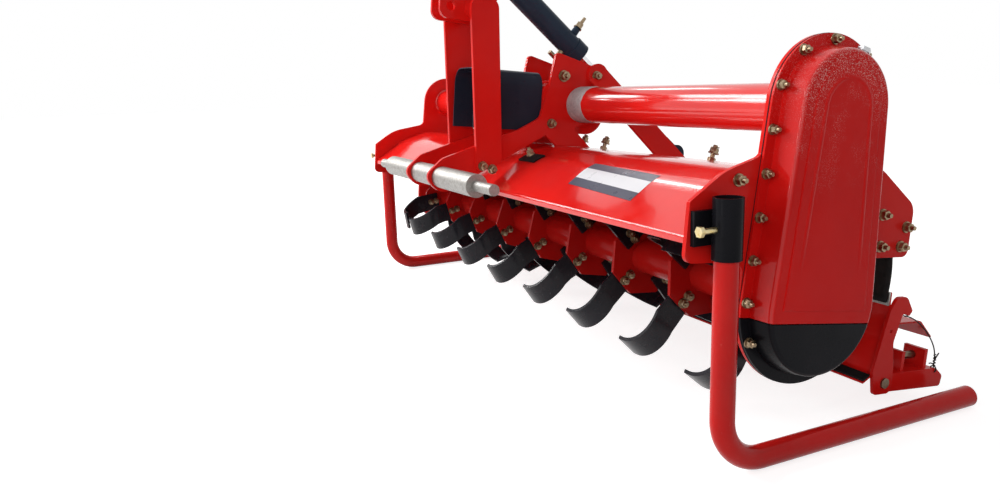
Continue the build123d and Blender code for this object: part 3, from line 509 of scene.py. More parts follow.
def on_hood(x, way, lift):
    """A place on the hood's skin, some way up from its front fold."""
    flat = Vector((x, *hood_fold)) + slope * min(way, flat_length)
    if way <= flat_length:
        return on_machine(*(flat + slope_out * (hood_skin + lift)))
    middle = flat - slope_out * hood_bend
    return on_machine(*(middle + hood_out(way) * (hood_bend + hood_skin + lift)))


def label_strip(name, low, high, material):
    """One band of the label, a thin sheet that follows the hood's bend."""
    form = bmesh.new()
    bmesh.ops.create_grid(form, x_segments=16, y_segments=10, size=0.5)
    for vert in form.verts:
        x = label_from + (vert.co.x + 0.5) * (label_to - label_from)
        way = low + (vert.co.y + 0.5) * (high - low) - vert.co.x * label_tilt
        vert.co = on_hood(x, way, label_lift)
    bmesh.ops.recalc_face_normals(form, faces=form.faces)
    if next(iter(form.faces)).normal.dot(turned(*slope_out)) < 0:
        bmesh.ops.reverse_faces(form, faces=form.faces)
    return new_piece(name, form, material, "frame")


def satin(name, colour, deep, gloss, peel=300.0, dust=0.03, shine=0.05):
    """A thin satin coat, for black paint, rubber and vinyl."""
    return sprayed(name, colour, deep, gloss, shine, coat=0.02, peel=peel, peel_depth=0.22, dust=dust)


def round_edges(form, edges, offset, segments=2):
    """Rounds edges with a bevel."""
    bmesh.ops.bevel(
        form, geom=edges, offset=offset, offset_type="OFFSET", segments=segments, profile=0.5,
        affect="EDGES", material=-1,
    )


def hex_bolt(flats, head=0.62, stud=0.45):
    """One nut along Z from its seat: washer, chamfered hexagon and thread end, sized by its flats."""
    form = bmesh.new()
    washer = flats * 0.16
    height = flats * head
    bmesh.ops.create_cone(
        form, cap_ends=True, segments=20, radius1=flats * 0.72, radius2=flats * 0.68, depth=washer,
        matrix=Matrix.Translation((0, 0, washer / 2)),
    )
    hexagon = bmesh.ops.create_cone(
        form, cap_ends=True, segments=6, radius1=flats / sqrt(3), radius2=flats / sqrt(3), depth=height,
        matrix=Matrix.Translation((0, 0, washer + height / 2)),
    )["verts"]
    top = [vert for vert in hexagon if vert.co.z > washer + height / 2]
    rim = [edge for vert in top for edge in vert.link_edges if edge.other_vert(vert) in top]
    round_edges(form, list(set(rim)), flats * 0.09)
    if stud:
        bmesh.ops.create_cone(
            form, cap_ends=True, segments=12, radius1=flats * 0.31, radius2=flats * 0.26, depth=flats * stud,
            matrix=Matrix.Translation((0, 0, washer + height + flats * stud / 2)),
        )
    mesh = bpy.data.meshes.new("bolt_form")
    form.to_mesh(mesh)
    form.free()
    return mesh


def fasten(name, bolt, places, body, material):
    """A joined set of like bolts, one at each (seat, outward direction)."""
    form = bmesh.new()
    for number, (seat, outward) in enumerate(places):
        copy = bolt.copy()
        spin = Matrix.Rotation(radians(23 * number), 4, "Z")
        copy.transform(Matrix.Translation(seat) @ outward.to_track_quat("Z", "Y").to_matrix().to_4x4() @ spin)
        form.from_mesh(copy)
        bpy.data.meshes.remove(copy)
    return new_piece(name, form, material, body)


def plated(name, colour, pale, roughness):
    """Plated or polished steel, cloudy where the finish ran."""
    material, tree, shader = new_material(name, Metallic=1.0)
    cloud = ramp(tree, noise(tree, 140.0, 5.0), 0.35, 0.68)
    tree.links.new(mix_colour(tree, cloud, colour, pale), shader.inputs["Base Color"])
    tree.links.new(mix_value(tree, cloud, roughness, roughness + 0.16), shader.inputs["Roughness"])
    bump(tree, shader, noise(tree, 900.0, 3.0), strength=0.15, distance=0.0003)
    return material


black_satin = satin("black_satin", satin_black, satin_black_pale, gloss=0.26, dust=0.01)
black_cover = satin("black_cover_rubber", cover_black, cover_black_pale, gloss=0.6, peel=700.0)
label_grey = satin("label_grey_vinyl", vinyl_grey, vinyl_grey_pale, gloss=0.30, peel=900.0, shine=0.4)
label_white = satin("label_white_vinyl", vinyl_white, vinyl_white_deep, gloss=0.30, peel=900.0, shine=0.4)
zinc = plated("zinc_plate", zinc_brown, zinc_pale, 0.28)
dress(red_gloss, "hood")

band = (label_high - label_low) * label_band
label_strip("label_lower_band", label_low, label_low + band, label_grey)
label_strip("label_middle_band", label_low + band, label_high - band, label_white)
label_strip("label_upper_band", label_high - band, label_high, label_grey)

m8_nut = hex_bolt(0.013)
m10_nut = hex_bolt(0.0155)
m12_nut = hex_bolt(0.018)
cover_seats = []
for side, cover_name in ((1, "hood_cover_left"), (-1, "hood_cover_right")):
    cover = bmesh.new()
    bmesh.ops.create_cube(cover, size=1.0)
    uphill = [edge for edge in cover.edges if abs(edge.verts[0].co.y - edge.verts[1].co.y) > 0.5]
    bmesh.ops.subdivide_edges(cover, edges=uphill, cuts=7, use_grid_fill=True)
    for vert in cover.verts:
        x = side * cover_x + vert.co.x * cover_size[0]
        vert.co = on_hood(x, cover_way + vert.co.y * cover_size[1], (vert.co.z + 0.5) * cover_size[2])
    bmesh.ops.recalc_face_normals(cover, faces=cover.faces)
    round_edges(cover, [edge for edge in cover.edges if edge.calc_face_angle(0) > 1], cover_edge)
    new_piece(cover_name, cover, black_cover, "frame")
    cover_seat = on_hood(side * cover_bolt_x, cover_bolt_way, cover_size[2])
    cover_seats.append((cover_seat, turned(*hood_out(cover_bolt_way))))
fasten("hood_cover_bolts", m12_nut, cover_seats, "frame", zinc)


# Side plates: 10 mm steel profiles, sprayed red. Bolts tie them to the hood, the hinge
# and the board stops, and a ring of six holds the beam's end flange on the right.
plate_outer = half_width + plate_thickness
plate_bolts_right = [
    (0.132, 0.257), (-0.139, 0.262), (-0.202, 0.247), (0.278, 0.155),
    (0.138, 0.173), (-0.144, 0.180), (0.260, 0.111), (0.188, 0.115),
]
plate_bolts_left = [(-0.202, 0.247), (0.199, 0.181), (0.277, 0.154), (0.266, 0.112), (0.203, 0.113)]
beam_flange_bolts = 6
beam_flange_circle = 0.073


def bolt_circle(x, radius, count, y=0.0, z=0.0, start=0.0):
    """Seats on a circle round an axis across the machine, facing away from its middle."""
    outward = to_left if x > 0 else -to_left
    angles = [start + 2 * pi / count * number for number in range(count)]
    return [(on_machine(x, y + radius * cos(angle), z + radius * sin(angle)), outward) for angle in angles]


red_plate = sprayed(
    "red_plate", paint_red, paint_red_deep, gloss=0.18, shine=0.06, coat=0.04,
    peel=red_peel, peel_depth=0.16, dust=0.03,
)
dress(red_plate, "side_plate_left", "side_plate_right")
seats = [(on_machine(-plate_outer, y, z), -to_left) for y, z in plate_bolts_right]
seats += bolt_circle(-plate_outer, beam_flange_circle, beam_flange_bolts, beam_back, beam_rise, pi / 2)
seats += [(on_machine(plate_outer, y, z), to_left) for y, z in plate_bolts_left]
fasten("side_plate_bolts", m12_nut, seats, "frame", zinc)


# Chain case: a deep pressing with an arched bead in its face and a bolted rim on a paper
# gasket, sprayed red over a coarse skin, with pale glints painted into its colour at its upper
# end as a painted highlight. A black cast shoe closes its lower end, and a bright hexagon plug the oil
# filler.
case_flange = 0.007
case_depth = 0.050
case_panel = 0.002
case_rim = 0.022
case_top = 0.120
case_bottom = 0.146
rim_bolt_out = 0.011
rim_bolt_gap = 0.0835
rim_bolts_each_side = 8
arch_inset = 0.062
arch_width = 0.011
arch_rise = 0.0014
arch_reach = 0.86
arch_fade = 4.0
arch_sink = 0.1
gasket_proud = 0.0007
gasket_half = 0.0011
gasket_width = 0.012
gasket_steps = 72
gasket_dark = (0.010, 0.006, 0.010, 1)
gasket_dark_pale = (0.020, 0.012, 0.016, 1)
case_red = (0.76, 0.011, 0.009, 1)
case_red_deep = (0.66, 0.007, 0.006, 1)
# Pale glints painted into the case's colour at its upper end and round the arch: a painted highlight that
# stands in for the sky caught in the coarse skin.
painted_glint_pale = (0.95, 0.62, 0.58, 1)
painted_glint_from, painted_glint_full = 0.50, 0.80
painted_glint_crown_from, painted_glint_crown_full = -0.05, 0.06
painted_glint_margin = 0.014
painted_glint_edge_from, painted_glint_edge_full = 0.050, 0.0565
wall_shine_from, wall_shine_full = 0.010, 0.048
face_shine_from, face_shine_full = 0.0555, 0.0568

centre_line = hypot(beam_back, beam_rise)
centre_lean = atan2(beam_back, beam_rise)
case_flare = asin((case_bottom - case_top) / centre_line)


def rim_place(offset, side, way):
    """A place on the case's outline, offset from its wall, some way down one flank from the top."""
    top_r = case_top + offset
    bottom_r = case_bottom + offset
    round_top = top_r * (pi / 2 - case_flare)
    flank = centre_line * cos(case_flare)
    if way < round_top:
        angle = way / top_r
        across, along = top_r * sin(angle), centre_line + top_r * cos(angle)
    elif way < round_top + flank:
        share = (way - round_top) / flank
        across = (top_r + share * (bottom_r - top_r)) * cos(case_flare)
        along = (1 - share) * (centre_line + top_r * sin(case_flare)) + share * bottom_r * sin(case_flare)
    else:
        angle = pi / 2 - case_flare + (way - round_top - flank) / bottom_r
        across, along = bottom_r * sin(angle), bottom_r * cos(angle)
    across *= side
    return (
        across * cos(centre_lean) + along * sin(centre_lean),
        along * cos(centre_lean) - across * sin(centre_lean),
    )


def half_outline(offset):
    """Length of the outline from the top of the case to its bottom."""
    arcs = (case_top + offset) * (pi / 2 - case_flare) + (case_bottom + offset) * (pi / 2 + case_flare)
    return arcs + centre_line * cos(case_flare)


def make_case_paint():
    """The red coat over a coarse skin, with pale glints painted into the base colour where the upper end
    catches the sky: a painted highlight.
    """
    material, tree, shader = new_material("red_case", Specular_IOR_Level=0.06, Coat_Roughness=0.05)
    film = use_group(tree, paint_film, Paint=case_red, Deep=case_red_deep, Gloss=0.2, Peel_Scale=330.0)
    place = add_node(tree, "ShaderNodeTexCoord")
    split = add_node(tree, "ShaderNodeSeparateXYZ")
    tree.links.new(place.outputs["Object"], split.inputs[0])
    upper = ramp(tree, split.outputs["Z"], painted_glint_from, painted_glint_full)
    flat = add_node(tree, "ShaderNodeVectorMath", {1: (0, 1, 1)}, operation="MULTIPLY")
    tree.links.new(place.outputs["Object"], flat.inputs[0])
    round_top = on_machine(0, beam_back, beam_rise)
    away = add_node(tree, "ShaderNodeVectorMath", {1: round_top}, operation="DISTANCE")
    tree.links.new(flat.outputs["Vector"], away.inputs[0])
    arch_radius = case_top - arch_inset
    margin = ramp(tree, away.outputs["Value"], arch_radius, arch_radius + painted_glint_margin)
    crown_from, crown_full = round_top.z + painted_glint_crown_from, round_top.z + painted_glint_crown_full
    crown = ramp(tree, split.outputs["Z"], crown_from, crown_full, 0.0, 0.75)
    glint_grains = ramp(tree, noise(tree, 560.0, 1.0), 0.58, 0.65)
    patches = ramp(tree, noise(tree, 14.0, 4.0), 0.48, 0.64, 0.0, 0.5)
    on_margin = reckon(tree, "MULTIPLY", margin, crown)
    zone = reckon(tree, "MAXIMUM", on_margin, reckon(tree, "MULTIPLY", patches, upper))
    out_from_plate = reckon(tree, "SUBTRACT", split.outputs["X"], plate_outer)
    facing = ramp(tree, out_from_plate, painted_glint_edge_from, painted_glint_edge_full, 0.25, 1.0)
    painted_glints = reckon(tree, "MULTIPLY", reckon(tree, "MULTIPLY", glint_grains, zone), facing)
    wall_shine = ramp(tree, out_from_plate, wall_shine_from, wall_shine_full, 0.05, 0.6)
    face_shine = ramp(tree, out_from_plate, face_shine_from, face_shine_full, 1.0, 0.08)
    tree.links.new(reckon(tree, "MULTIPLY", wall_shine, face_shine), shader.inputs["Coat Weight"])
    # Painted highlight: the pale glints are mixed into the base colour.
    tree.links.new(mix_colour(tree, painted_glints, film.outputs["Colour"], painted_glint_pale), shader.inputs["Base Color"])
    tree.links.new(film.outputs["Roughness"], shader.inputs["Roughness"])
    bump(tree, shader, film.outputs["Height"], strength=0.5, distance=0.0007, rounding=0.002)
    return material


bright_steel = plated("bright_steel", (0.55, 0.56, 0.58, 1), (0.44, 0.44, 0.44, 1), 0.26)
case_paint = make_case_paint()
dress(case_paint, "chain_case")
dress(black_satin, "chain_case_shoe")
dress(bright_steel, "filler_plug")

rim_seats = []
for step in range(-rim_bolts_each_side, rim_bolts_each_side + 1):
    y, z = rim_place(rim_bolt_out, 1 if step >= 0 else -1, abs(step) * rim_bolt_gap)
    rim_seats.append((on_machine(plate_outer + case_flange, y, z), to_left))
fasten("chain_case_rim_bolts", m10_nut, rim_seats, "frame", zinc)

case_face = plate_outer + case_flange + case_depth + case_panel
arch = bmesh.new()
bmesh.ops.create_grid(arch, x_segments=160, y_segments=8, size=0.5)
arch_turn = (case_top - arch_inset) * (pi / 2 - case_flare)
arch_half = arch_turn + arch_reach * centre_line * cos(case_flare)
for vert in arch.verts:
    share, across = 2 * abs(vert.co.x), vert.co.y
    rise = arch_rise * (cos(pi * across) * min(1, (1 - share) * arch_fade) - arch_sink)
    y, z = rim_place(arch_width * across - arch_inset, 1 if vert.co.x >= 0 else -1, share * arch_half)
    vert.co = on_machine(case_face + rise, y, z)
bmesh.ops.recalc_face_normals(arch, faces=arch.faces)
if sum(face.normal.x for face in arch.faces) < 0:
    bmesh.ops.reverse_faces(arch, faces=arch.faces)
new_piece("case_panel_arch", arch, case_paint, "frame", crease=60)

gasket_black = satin("gasket_paper", gasket_dark, gasket_dark_pale, gloss=0.5, peel=500.0)
gasket = bmesh.new()
loops = []
for offset, lift in (
    (case_rim + gasket_proud, -gasket_half), (case_rim + gasket_proud, gasket_half),
    (case_rim - gasket_width, gasket_half), (case_rim - gasket_width, -gasket_half),
):
    ring = bmesh.ops.create_circle(gasket, segments=2 * gasket_steps, radius=1.0)["verts"]
    for number, vert in enumerate(ring):
        step = number - gasket_steps
        way = abs(step) / gasket_steps * half_outline(offset)
        vert.co = on_machine(plate_outer + lift, *rim_place(offset, 1 if step >= 0 else -1, way))
    loops.append(list({edge for vert in ring for edge in vert.link_edges}))
for first, second in zip(loops, loops[1:] + loops[:1]):
    bmesh.ops.bridge_loops(gasket, edges=first + second)
close_up(gasket)
new_piece("case_gasket", gasket, gasket_black, "frame")


# Bearing hub on the plain end: a black cast cover on a six-bolt flange.
# Its bolts are plated like the rest.
hub_bolt_circle = 0.080
hub_flange = 0.009
hub_flange_face = plate_outer + hub_flange
hub_bolts = 6

dress(black_satin, "bearing_hub_cover")
fasten("hub_cover_bolts", m12_nut, bolt_circle(-hub_flange_face, hub_bolt_circle, hub_bolts), "frame", zinc)


# Headstock, braces, gearbox and mast: laser-cut plates bolted to the gearbox, all red.
# The gearbox carries a bolted lid with a breather. The hitch bar is left bare.
headstock_main_bolt = (-0.072, 0.469)
headstock_low_bolt = (-0.103, 0.330)
brace_bolt = (0.034, 0.477)
brace_thickness = 0.010
mast_thickness = 0.012
brace_face = headstock_face + brace_thickness
mast_face = headstock_face + mast_thickness
mast_bolts = [(-0.292, 0.192), (-0.322, 0.200)]
gearbox_top = 0.447
lid_size = (0.118, 0.136, 0.008)
lid_back = -0.030
lid_corner = 0.016
lid_edge = 0.002
lid_bolts = [(x, y) for x in (-0.044, 0.044) for y in (-0.083, -0.030, 0.023)]
nose_face = -0.190
nose_bolt_circle = 0.055
nose_bolts = 6

bare_steel = plated("bare_steel_bar", (0.34, 0.33, 0.31, 1), (0.25, 0.235, 0.22, 1), 0.40)
dress(
    red_plate, "headstock_plate_left", "headstock_plate_right", "brace_left", "brace_right", "gearbox",
    "mast_plate_left", "mast_plate_right", "mast_head",
)
dress(bare_steel, "hitch_bar")
main_seats, low_seats = [], []
for side in (-1, 1):
    outward = side * to_left
    main_seats.append((on_machine(side * headstock_face, *headstock_main_bolt), outward))
    low_seats.append((on_machine(side * headstock_face, *headstock_low_bolt), outward))
    low_seats.append((on_machine(side * brace_face, *brace_bolt), outward))
    low_seats += [(on_machine(side * mast_face, y, z), outward) for y, z in mast_bolts]
fasten("headstock_main_bolts", hex_bolt(0.024), main_seats, "frame", zinc)
fasten("headstock_bolts", hex_bolt(0.020), low_seats, "frame", zinc)

lid = bmesh.new()
bmesh.ops.create_cube(lid, size=1.0)
bmesh.ops.scale(lid, vec=lid_size, verts=lid.verts)
corners = [edge for edge in lid.edges if abs(edge.verts[0].co.z - edge.verts[1].co.z) > lid_size[2] / 2]
round_edges(lid, corners, lid_corner, segments=5)
rim = [edge for edge in lid.edges if all(vert.co.z > 0 for vert in edge.verts)]
round_edges(lid, rim, lid_edge)
lid_place = level_to_parked @ Matrix.Translation((0, lid_back, gearbox_top + lid_size[2] / 2))
bmesh.ops.transform(lid, matrix=lid_place, verts=lid.verts)
new_piece("gearbox_lid", lid, red_plate, "frame")
lid_top = gearbox_top + lid_size[2]
upward = turned(0, 0, 1)
lid_seats = [(on_machine(x, y, lid_top), upward) for x, y in lid_bolts]
fasten("gearbox_lid_bolts", m8_nut, lid_seats, "frame", zinc)
breather = [(on_machine(0, lid_back, lid_top), upward)]
fasten("gearbox_breather", hex_bolt(0.022, head=0.9, stud=0.5), breather, "frame", bright_steel)
nose_seats = []
for number in range(nose_bolts):
    angle = (2 * number + 1) * pi / nose_bolts
    x, z = nose_bolt_circle * cos(angle), beam_rise + nose_bolt_circle * sin(angle)
    nose_seats.append((on_machine(x, nose_face, z), turned(0, -1, 0)))
fasten("gearbox_nose_bolts", m8_nut, nose_seats, "frame", zinc)


# Drive stub and its guard: a bright six-spline shaft under a black sheet hood.
# The splines are milled in the stub between two plain ends.
stub_radius = 0.01745
stub_root = 0.0147
stub_tip = -0.275
stub_foot = -0.190
spline_neck = -0.214
spline_count = 6
spline_steps = 5
stub_chamfer = 0.0015
chamfer_length = 0.003
spline_start = 0.004
neck_length = 0.003
guard_dark = (0.018, 0.022, 0.038, 1)
guard_dark_pale = (0.022, 0.027, 0.045, 1)


def add_shaft(form, rings, steps):
    """A closed shaft along the drive line, from rings of (place, radii in turn round it)."""
    edge_loops = []
    ends = []
    for y, radii in rings:
        ring = bmesh.ops.create_circle(form, segments=steps, radius=1.0)["verts"]
        for number, vert in enumerate(ring):
            angle = 2 * pi * number / steps
            radius = radii[number % len(radii)]
            vert.co = on_machine(radius * cos(angle), y, beam_rise + radius * sin(angle))
        edge_loops.append(list({edge for vert in ring for edge in vert.link_edges}))
        ends.append(ring)
    for first, second in zip(edge_loops, edge_loops[1:]):
        bmesh.ops.bridge_loops(form, edges=first + second)
    for ring in (ends[0], ends[-1]):
        bmesh.ops.contextual_create(form, geom=ring)


plain = [stub_radius]
milled = [stub_radius] * spline_steps + [stub_root] * spline_steps
stub = bmesh.new()
add_shaft(stub, [
    (stub_tip, [stub_root - stub_chamfer]), (stub_tip + chamfer_length, [stub_root]),
    (stub_tip + spline_start, milled), (spline_neck, milled),
    (spline_neck + neck_length, plain), (stub_foot, plain),
], spline_count * len(milled))
close_up(stub)
splined = new_piece("pto_splined_stub", stub, bright_steel, "pto_input", crease=25)
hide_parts("pto_shaft")
dress(bright_steel, "pto_shaft")
guard_black = satin("guard_blue_black", guard_dark, guard_dark_pale, gloss=0.3)
dress(guard_black, "pto_guard")


# Studs on the hood: plated, with a lock nut near the top and a split pin through the end.
# They stand square to the sheet just behind its ridge.
stud_x = (0.062, 0.566)
stud_seat = (0.10458, 0.25482)
stud_up = Vector((0, 0.264, 0.9645))
lock_nut_rise = 0.024
pin_rise = 0.040
pin_radius = 0.0022
pin_length = 0.030

dress(zinc, "hood_tie_rods")
nut_seats = []
pins = bmesh.new()
for x in (side * x for x in stud_x for side in (-1, 1)):
    foot = Vector((x, *stud_seat))
    nut_seats.append((on_machine(*(foot + stud_up * lock_nut_rise)), turned(*stud_up)))
    lie = Matrix.Translation(on_machine(*(foot + stud_up * pin_rise))) @ Matrix.Rotation(pi / 2, 4, "Y")
    bmesh.ops.create_cone(
        pins, cap_ends=True, segments=10, radius1=pin_radius, radius2=pin_radius * 0.8,
        depth=pin_length, matrix=lie,
    )
fasten("stud_lock_nuts", hex_bolt(0.020, head=0.55, stud=0), nut_seats, "frame", zinc)
new_piece("stud_split_pins", pins, zinc, "frame")


# Rotor: a red tube with eight-sided flanges, and black forged blades bolted to them,
# four to a flange and bent by turns to either side.
flange_count = 9
flange_inset = 0.062
flange_half = 0.005
blade_thickness = 0.008
blades_per_flange = 4
flange_phase = 15
flange_stagger = 5
blade_bolt_radii = (0.068, 0.090)
# The rotor's red is a darker copy of the frame's paint: painted shade for where it sits under the hood.
shaded_rotor_paint = (0.52, 0.010, 0.008, 1)
shaded_rotor_paint_deep = (0.44, 0.007, 0.006, 1)
blade_dip = (0.0070, 0.0065, 0.0095, 1)
blade_dip_pale = (0.014, 0.013, 0.019, 1)
blade_rub = (0.16, 0.16, 0.18, 1)

blade_black = sprayed(
    "blade_black_dip", blade_dip, blade_dip_pale, gloss=0.24, shine=0.16, coat=0.04,
    peel=210.0, peel_depth=0.3, dust=0.04, rubs=0.5, under=blade_rub,
)
# A darker copy of the red paint, as painted shade under the hood.
shaded_rotor_red = sprayed(
    "shaded_rotor_red", shaded_rotor_paint, shaded_rotor_paint_deep, gloss=0.2, shine=0.04, coat=0.02,
    peel=red_peel, peel_depth=0.16, dust=0.03,
)
dress(shaded_rotor_red, "rotor_shaft")
dress(blade_black, "rotor_blades")

seats = []
for flange in range(flange_count):
    x = (half_width - flange_inset) * (2 * flange / (flange_count - 1) - 1)
    for turn in range(blades_per_flange):
        side = 1 if turn % 2 == 0 else -1
        if flange == 0:
            side = 1
        if flange == flange_count - 1:
            side = -1
        angle = radians(flange_phase + flange * flange_stagger + turn * 360 / blades_per_flange)
        for radius in blade_bolt_radii:
            y, z = -radius * sin(angle), radius * cos(angle)
            seats.append((on_machine(x + side * (flange_half + blade_thickness), y, z), side * to_left))
            seats.append((on_machine(x - side * flange_half, y, z), -side * to_left))
fasten("blade_bolts", hex_bolt(0.018, head=0.55, stud=0.3), seats, "rotor", zinc)


# Rear board: bent sheet on five hinge arms, with hooked end cheeks and a stiffening
# shelf behind it, all red. A steel strip clamps the apron to its top edge.
board_top = (0.300, 0.002)
strip_face = 0.2938
strip_height = 0.030
strip_bolt_places = 8
board_half = 0.981
strip_bolt_spread = 0.94

strip_steel = plated("strip_steel", (0.40, 0.39, 0.37, 1), (0.28, 0.265, 0.24, 1), 0.42)
dress(
    red_plate, "rear_board", "board_cheek_left", "board_cheek_right", "board_hinge_arms", "board_hinge_lugs",
    "lift_lever", "board_stiffener", "stiffener_posts", "wing_left", "wing_right",
)
dress(strip_steel, "apron_strip")
dress(black_cover, "lip_strip")
seats = []
for number in range(strip_bolt_places):
    x = board_half * strip_bolt_spread * (2 * number / (strip_bolt_places - 1) - 1)
    seats.append((on_machine(x, strip_face, board_top[1] - strip_height / 2), turned(0, -1, 0)))
fasten("apron_strip_bolts", m10_nut, seats, "rear_board", zinc)


# Apron: a sheet of black rubber that closes the gap between the hood's rear edge and the
# board. It is clamped at both edges and bows out between them.
apron_half = 0.978
apron_thickness = 0.006
apron_top = (0.2818, 0.172)
apron_low = (0.2908, -0.022)
apron_pull_top = (0.2835, 0.075)
apron_pull_low = (0.3050, 0.075)
rubber_black = (0.007, 0.007, 0.008, 1)
rubber_black_pale = (0.013, 0.013, 0.013, 1)


def bezier(first, pull, tug, last, t):
    """A place on a cubic curve in the side view."""
    shares = ((1 - t) ** 3, 3 * t * (1 - t) ** 2, 3 * t ** 2 * (1 - t), t ** 3)
    points = (first, pull, tug, last)
    return [sum(share * point[axis] for share, point in zip(shares, points)) for axis in (0, 1)]


rubber = satin("apron_rubber", rubber_black, rubber_black_pale, gloss=0.46, peel=420.0, dust=0.1)
sheet = bmesh.new()
bmesh.ops.create_grid(sheet, x_segments=60, y_segments=28, size=0.5)
for vert in sheet.verts:
    x = vert.co.x * 2 * apron_half
    vert.co = on_machine(x, *bezier(apron_top, apron_pull_top, apron_pull_low, apron_low, 0.5 - vert.co.y))
bmesh.ops.recalc_face_normals(sheet, faces=sheet.faces)
bmesh.ops.solidify(sheet, geom=sheet.faces[:], thickness=apron_thickness)
bmesh.ops.recalc_face_normals(sheet, faces=sheet.faces)
for face in sheet.faces:
    face.smooth = True
apron_mesh = bpy.data.meshes.new("apron_sheet")
sheet.to_mesh(apron_mesh)
sheet.free()
apron_mesh.materials.append(rubber)
apron = bpy.data.objects.new("apron_sheet", apron_mesh)
bpy.context.collection.objects.link(apron)
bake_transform(apron)
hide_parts("rubber_apron")
dress(rubber, "rubber_apron")


# End wings: folded brackets with a spindle, hung on a dowel at each cheek and wired up
# for transport. The soft iron wire is looped at the cheek's hook and twisted at the wing.
wire_x = 0.977
wire_radius = 0.0015
wire_route = [
    (0.358, -0.056), (0.384, -0.060), (0.432, -0.088), (0.474, -0.130), (0.488, -0.166), (0.486, -0.190),
]
wire_tails = [
    [(0.487, -0.172), (0.492, -0.162), (0.499, -0.155)],
    [(0.486, -0.184), (0.478, -0.176), (0.469, -0.178)],
]
hook_loop = (0.356, -0.052)
hook_way = (0, 0.7, 0.714)
wing_way = (0, 1, 0)
wing_loop = (0.486, -0.193)
loop_radius = 0.0075
twist_turns = 4
twist_back = 0.487
twist_low, twist_high = -0.186, -0.158
twist_radius = 0.0026
twist_steps = 8
iron_black = (0.012, 0.012, 0.012, 1)
iron_brown = (0.03, 0.024, 0.02, 1)


def add_wire(form, places):
    """A length of wire along a smooth line through control places."""
    line = bpy.data.curves.new("wire_line", "CURVE")
    line.dimensions = "3D"
    line.bevel_depth = wire_radius
    line.bevel_resolution = 2
    line.use_fill_caps = True
    spline = line.splines.new("NURBS")
    spline.points.add(len(places) - 1)
    for point, place in zip(spline.points, places):
        point.co = (*place, 1)
    spline.order_u = 3
    spline.use_endpoint_u = True
    spline.resolution_u = 8
    holder = bpy.data.objects.new("wire_line", line)
    mesh = bpy.data.meshes.new_from_object(holder)
    form.from_mesh(mesh)
    bpy.data.meshes.remove(mesh)
    bpy.data.objects.remove(holder)
    bpy.data.curves.remove(line)


wire_black = satin("soft_iron_wire", iron_black, iron_brown, gloss=0.4, peel=900.0)
dark_dowel = plated("oiled_dowel", (0.17, 0.145, 0.10, 1), (0.24, 0.205, 0.15, 1), 0.30)
dress(dark_dowel, "wing_pins")
dress(wire_black, "tie_wires")
wires = bmesh.new()
for side in (-1, 1):
    for route in [wire_route] + wire_tails:
        add_wire(wires, [on_machine(side * wire_x, y, z) for y, z in route])
    coil = []
    for step in range(twist_turns * twist_steps + 1):
        angle = 2 * pi * step / twist_steps
        z = twist_low + (twist_high - twist_low) * step / (twist_turns * twist_steps)
        y = twist_back + twist_radius * cos(angle)
        coil.append(on_machine(side * wire_x + twist_radius * sin(angle), y, z))
    add_wire(wires, coil)
    for loop, way in ((hook_loop, hook_way), (wing_loop, wing_way)):
        centre = on_machine(side * wire_x, *loop)
        add_ring(wires, centre, turned(*way), loop_radius, wire_radius, steps=24, sides=6)
close_up(wires)
tied = new_piece("wing_tie_wires", wires, wire_black, "rear_board", crease=50)
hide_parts("tie_wires")


# Lift cylinder: blue-black barrel with a port on either side, hard-chromed rod and a black
# fork. The upper port is a welded boss with a plated hexagon nipple, and the rod's eye
# works on the lever's pin with some play.
port_way = 0.312
port_sink = 0.033
boss_radius = 0.0105
boss_length = 0.024
boss_spread = 1.15
boss_edge = 0.0015
barrel_dark = (0.024, 0.040, 0.066, 1)
barrel_dark_pale = (0.029, 0.046, 0.074, 1)

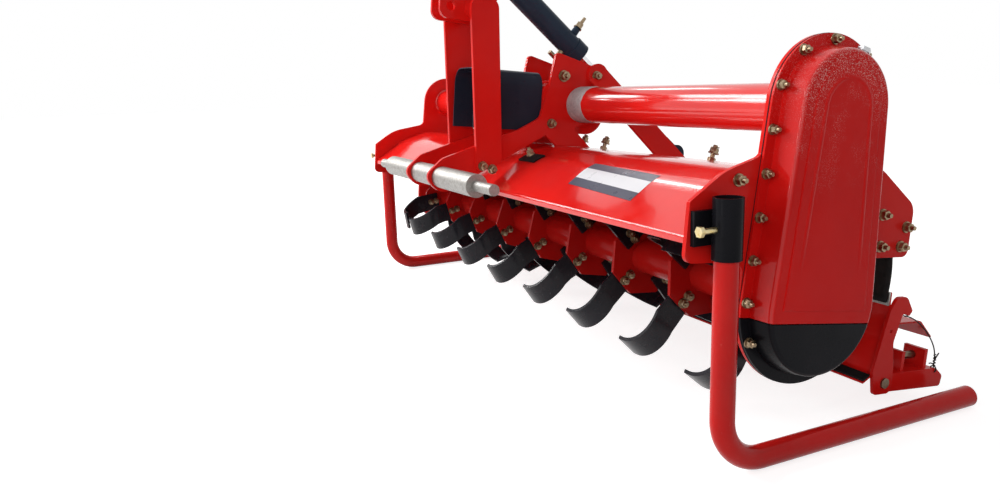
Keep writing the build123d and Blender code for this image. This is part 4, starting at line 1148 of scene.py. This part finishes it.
cylinder_base = Vector(joints["cylinder_pivot"]["pos_m"])
cylinder_run = -Vector(joints["cylinder_slide"]["axis"])
port_out = Vector((0, -cylinder_run.z, cylinder_run.y))
port_foot = cylinder_base + cylinder_run * port_way + port_out * port_sink
barrel_black = satin("barrel_blue_black", barrel_dark, barrel_dark_pale, gloss=0.28, peel=400.0)
chrome = plated("hard_chrome", (0.80, 0.80, 0.82, 1), (0.72, 0.72, 0.74, 1), 0.08)
dress(barrel_black, "cylinder_barrel", "rod_link")
dress(zinc, "cylinder_port")
dress(chrome, "cylinder_rod")
boss = bmesh.new()
boss_place = Matrix.Translation(port_foot + port_out * boss_length / 2)
bmesh.ops.create_cone(
    boss, cap_ends=True, segments=28, radius1=boss_radius * boss_spread, radius2=boss_radius,
    depth=boss_length, matrix=boss_place @ port_out.to_track_quat("Z", "Y").to_matrix().to_4x4(),
)
outer_ring = {vert for vert in boss.verts if (vert.co - port_foot).dot(port_out) > boss_length / 2}
round_edges(boss, [edge for edge in boss.edges if outer_ring.issuperset(edge.verts)], boss_edge)
new_piece("upper_port_boss", boss, barrel_black, "cylinder_barrel")
nipple_seat = (port_foot + port_out * boss_length, port_out)
nipple = hex_bolt(0.019, head=0.85, stud=1.1)
fasten("upper_port_nipple", nipple, [nipple_seat], "cylinder_barrel", zinc)


# Stands: bent steel pipe, sprayed red and rubbed where they are handled, with a domed cap
# welded in the foot's end. A plated set screw holds each in a black socket.
stand_x = 1.0465
stand_radius = 0.02415
stand_bore = 0.02015
foot_end = 0.495
cap_depth = 0.005
cap_press = 1.01
stand_paint = (0.66, 0.012, 0.010, 1)
stand_paint_deep = (0.54, 0.008, 0.007, 1)
stand_rub = (0.80, 0.35, 0.32, 1)

stand_red = sprayed(
    "stand_red", stand_paint, stand_paint_deep, gloss=0.16, shine=0.08, coat=0.08,
    peel=red_peel, peel_depth=0.16, dust=0.04, rubs=0.35, under=stand_rub,
)
screw_zinc = plated("yellow_zinc_screw", (0.62, 0.47, 0.19, 1), (0.66, 0.58, 0.38, 1), 0.26)
dress(stand_red, "stand_left", "stand_right")
dress(black_satin, "stand_socket_left", "stand_socket_right")
dress(screw_zinc, "socket_screws")
for side, body in ((1, "stand_left"), (-1, "stand_right")):
    cap = bmesh.new()
    end = Vector((side * stand_x, rotor_axis.y + foot_end - cap_depth, stand_radius))
    lie = Matrix.Translation(end) @ Matrix.Rotation(-pi / 2, 4, "X")
    bmesh.ops.create_uvsphere(cap, u_segments=32, v_segments=16, radius=stand_bore)
    bmesh.ops.scale(cap, vec=(cap_press, cap_press, cap_depth / stand_bore), verts=cap.verts)
    bmesh.ops.transform(cap, matrix=lie, verts=cap.verts)
    new_piece(body + "_end_cap", cap, stand_red, body, crease=60)
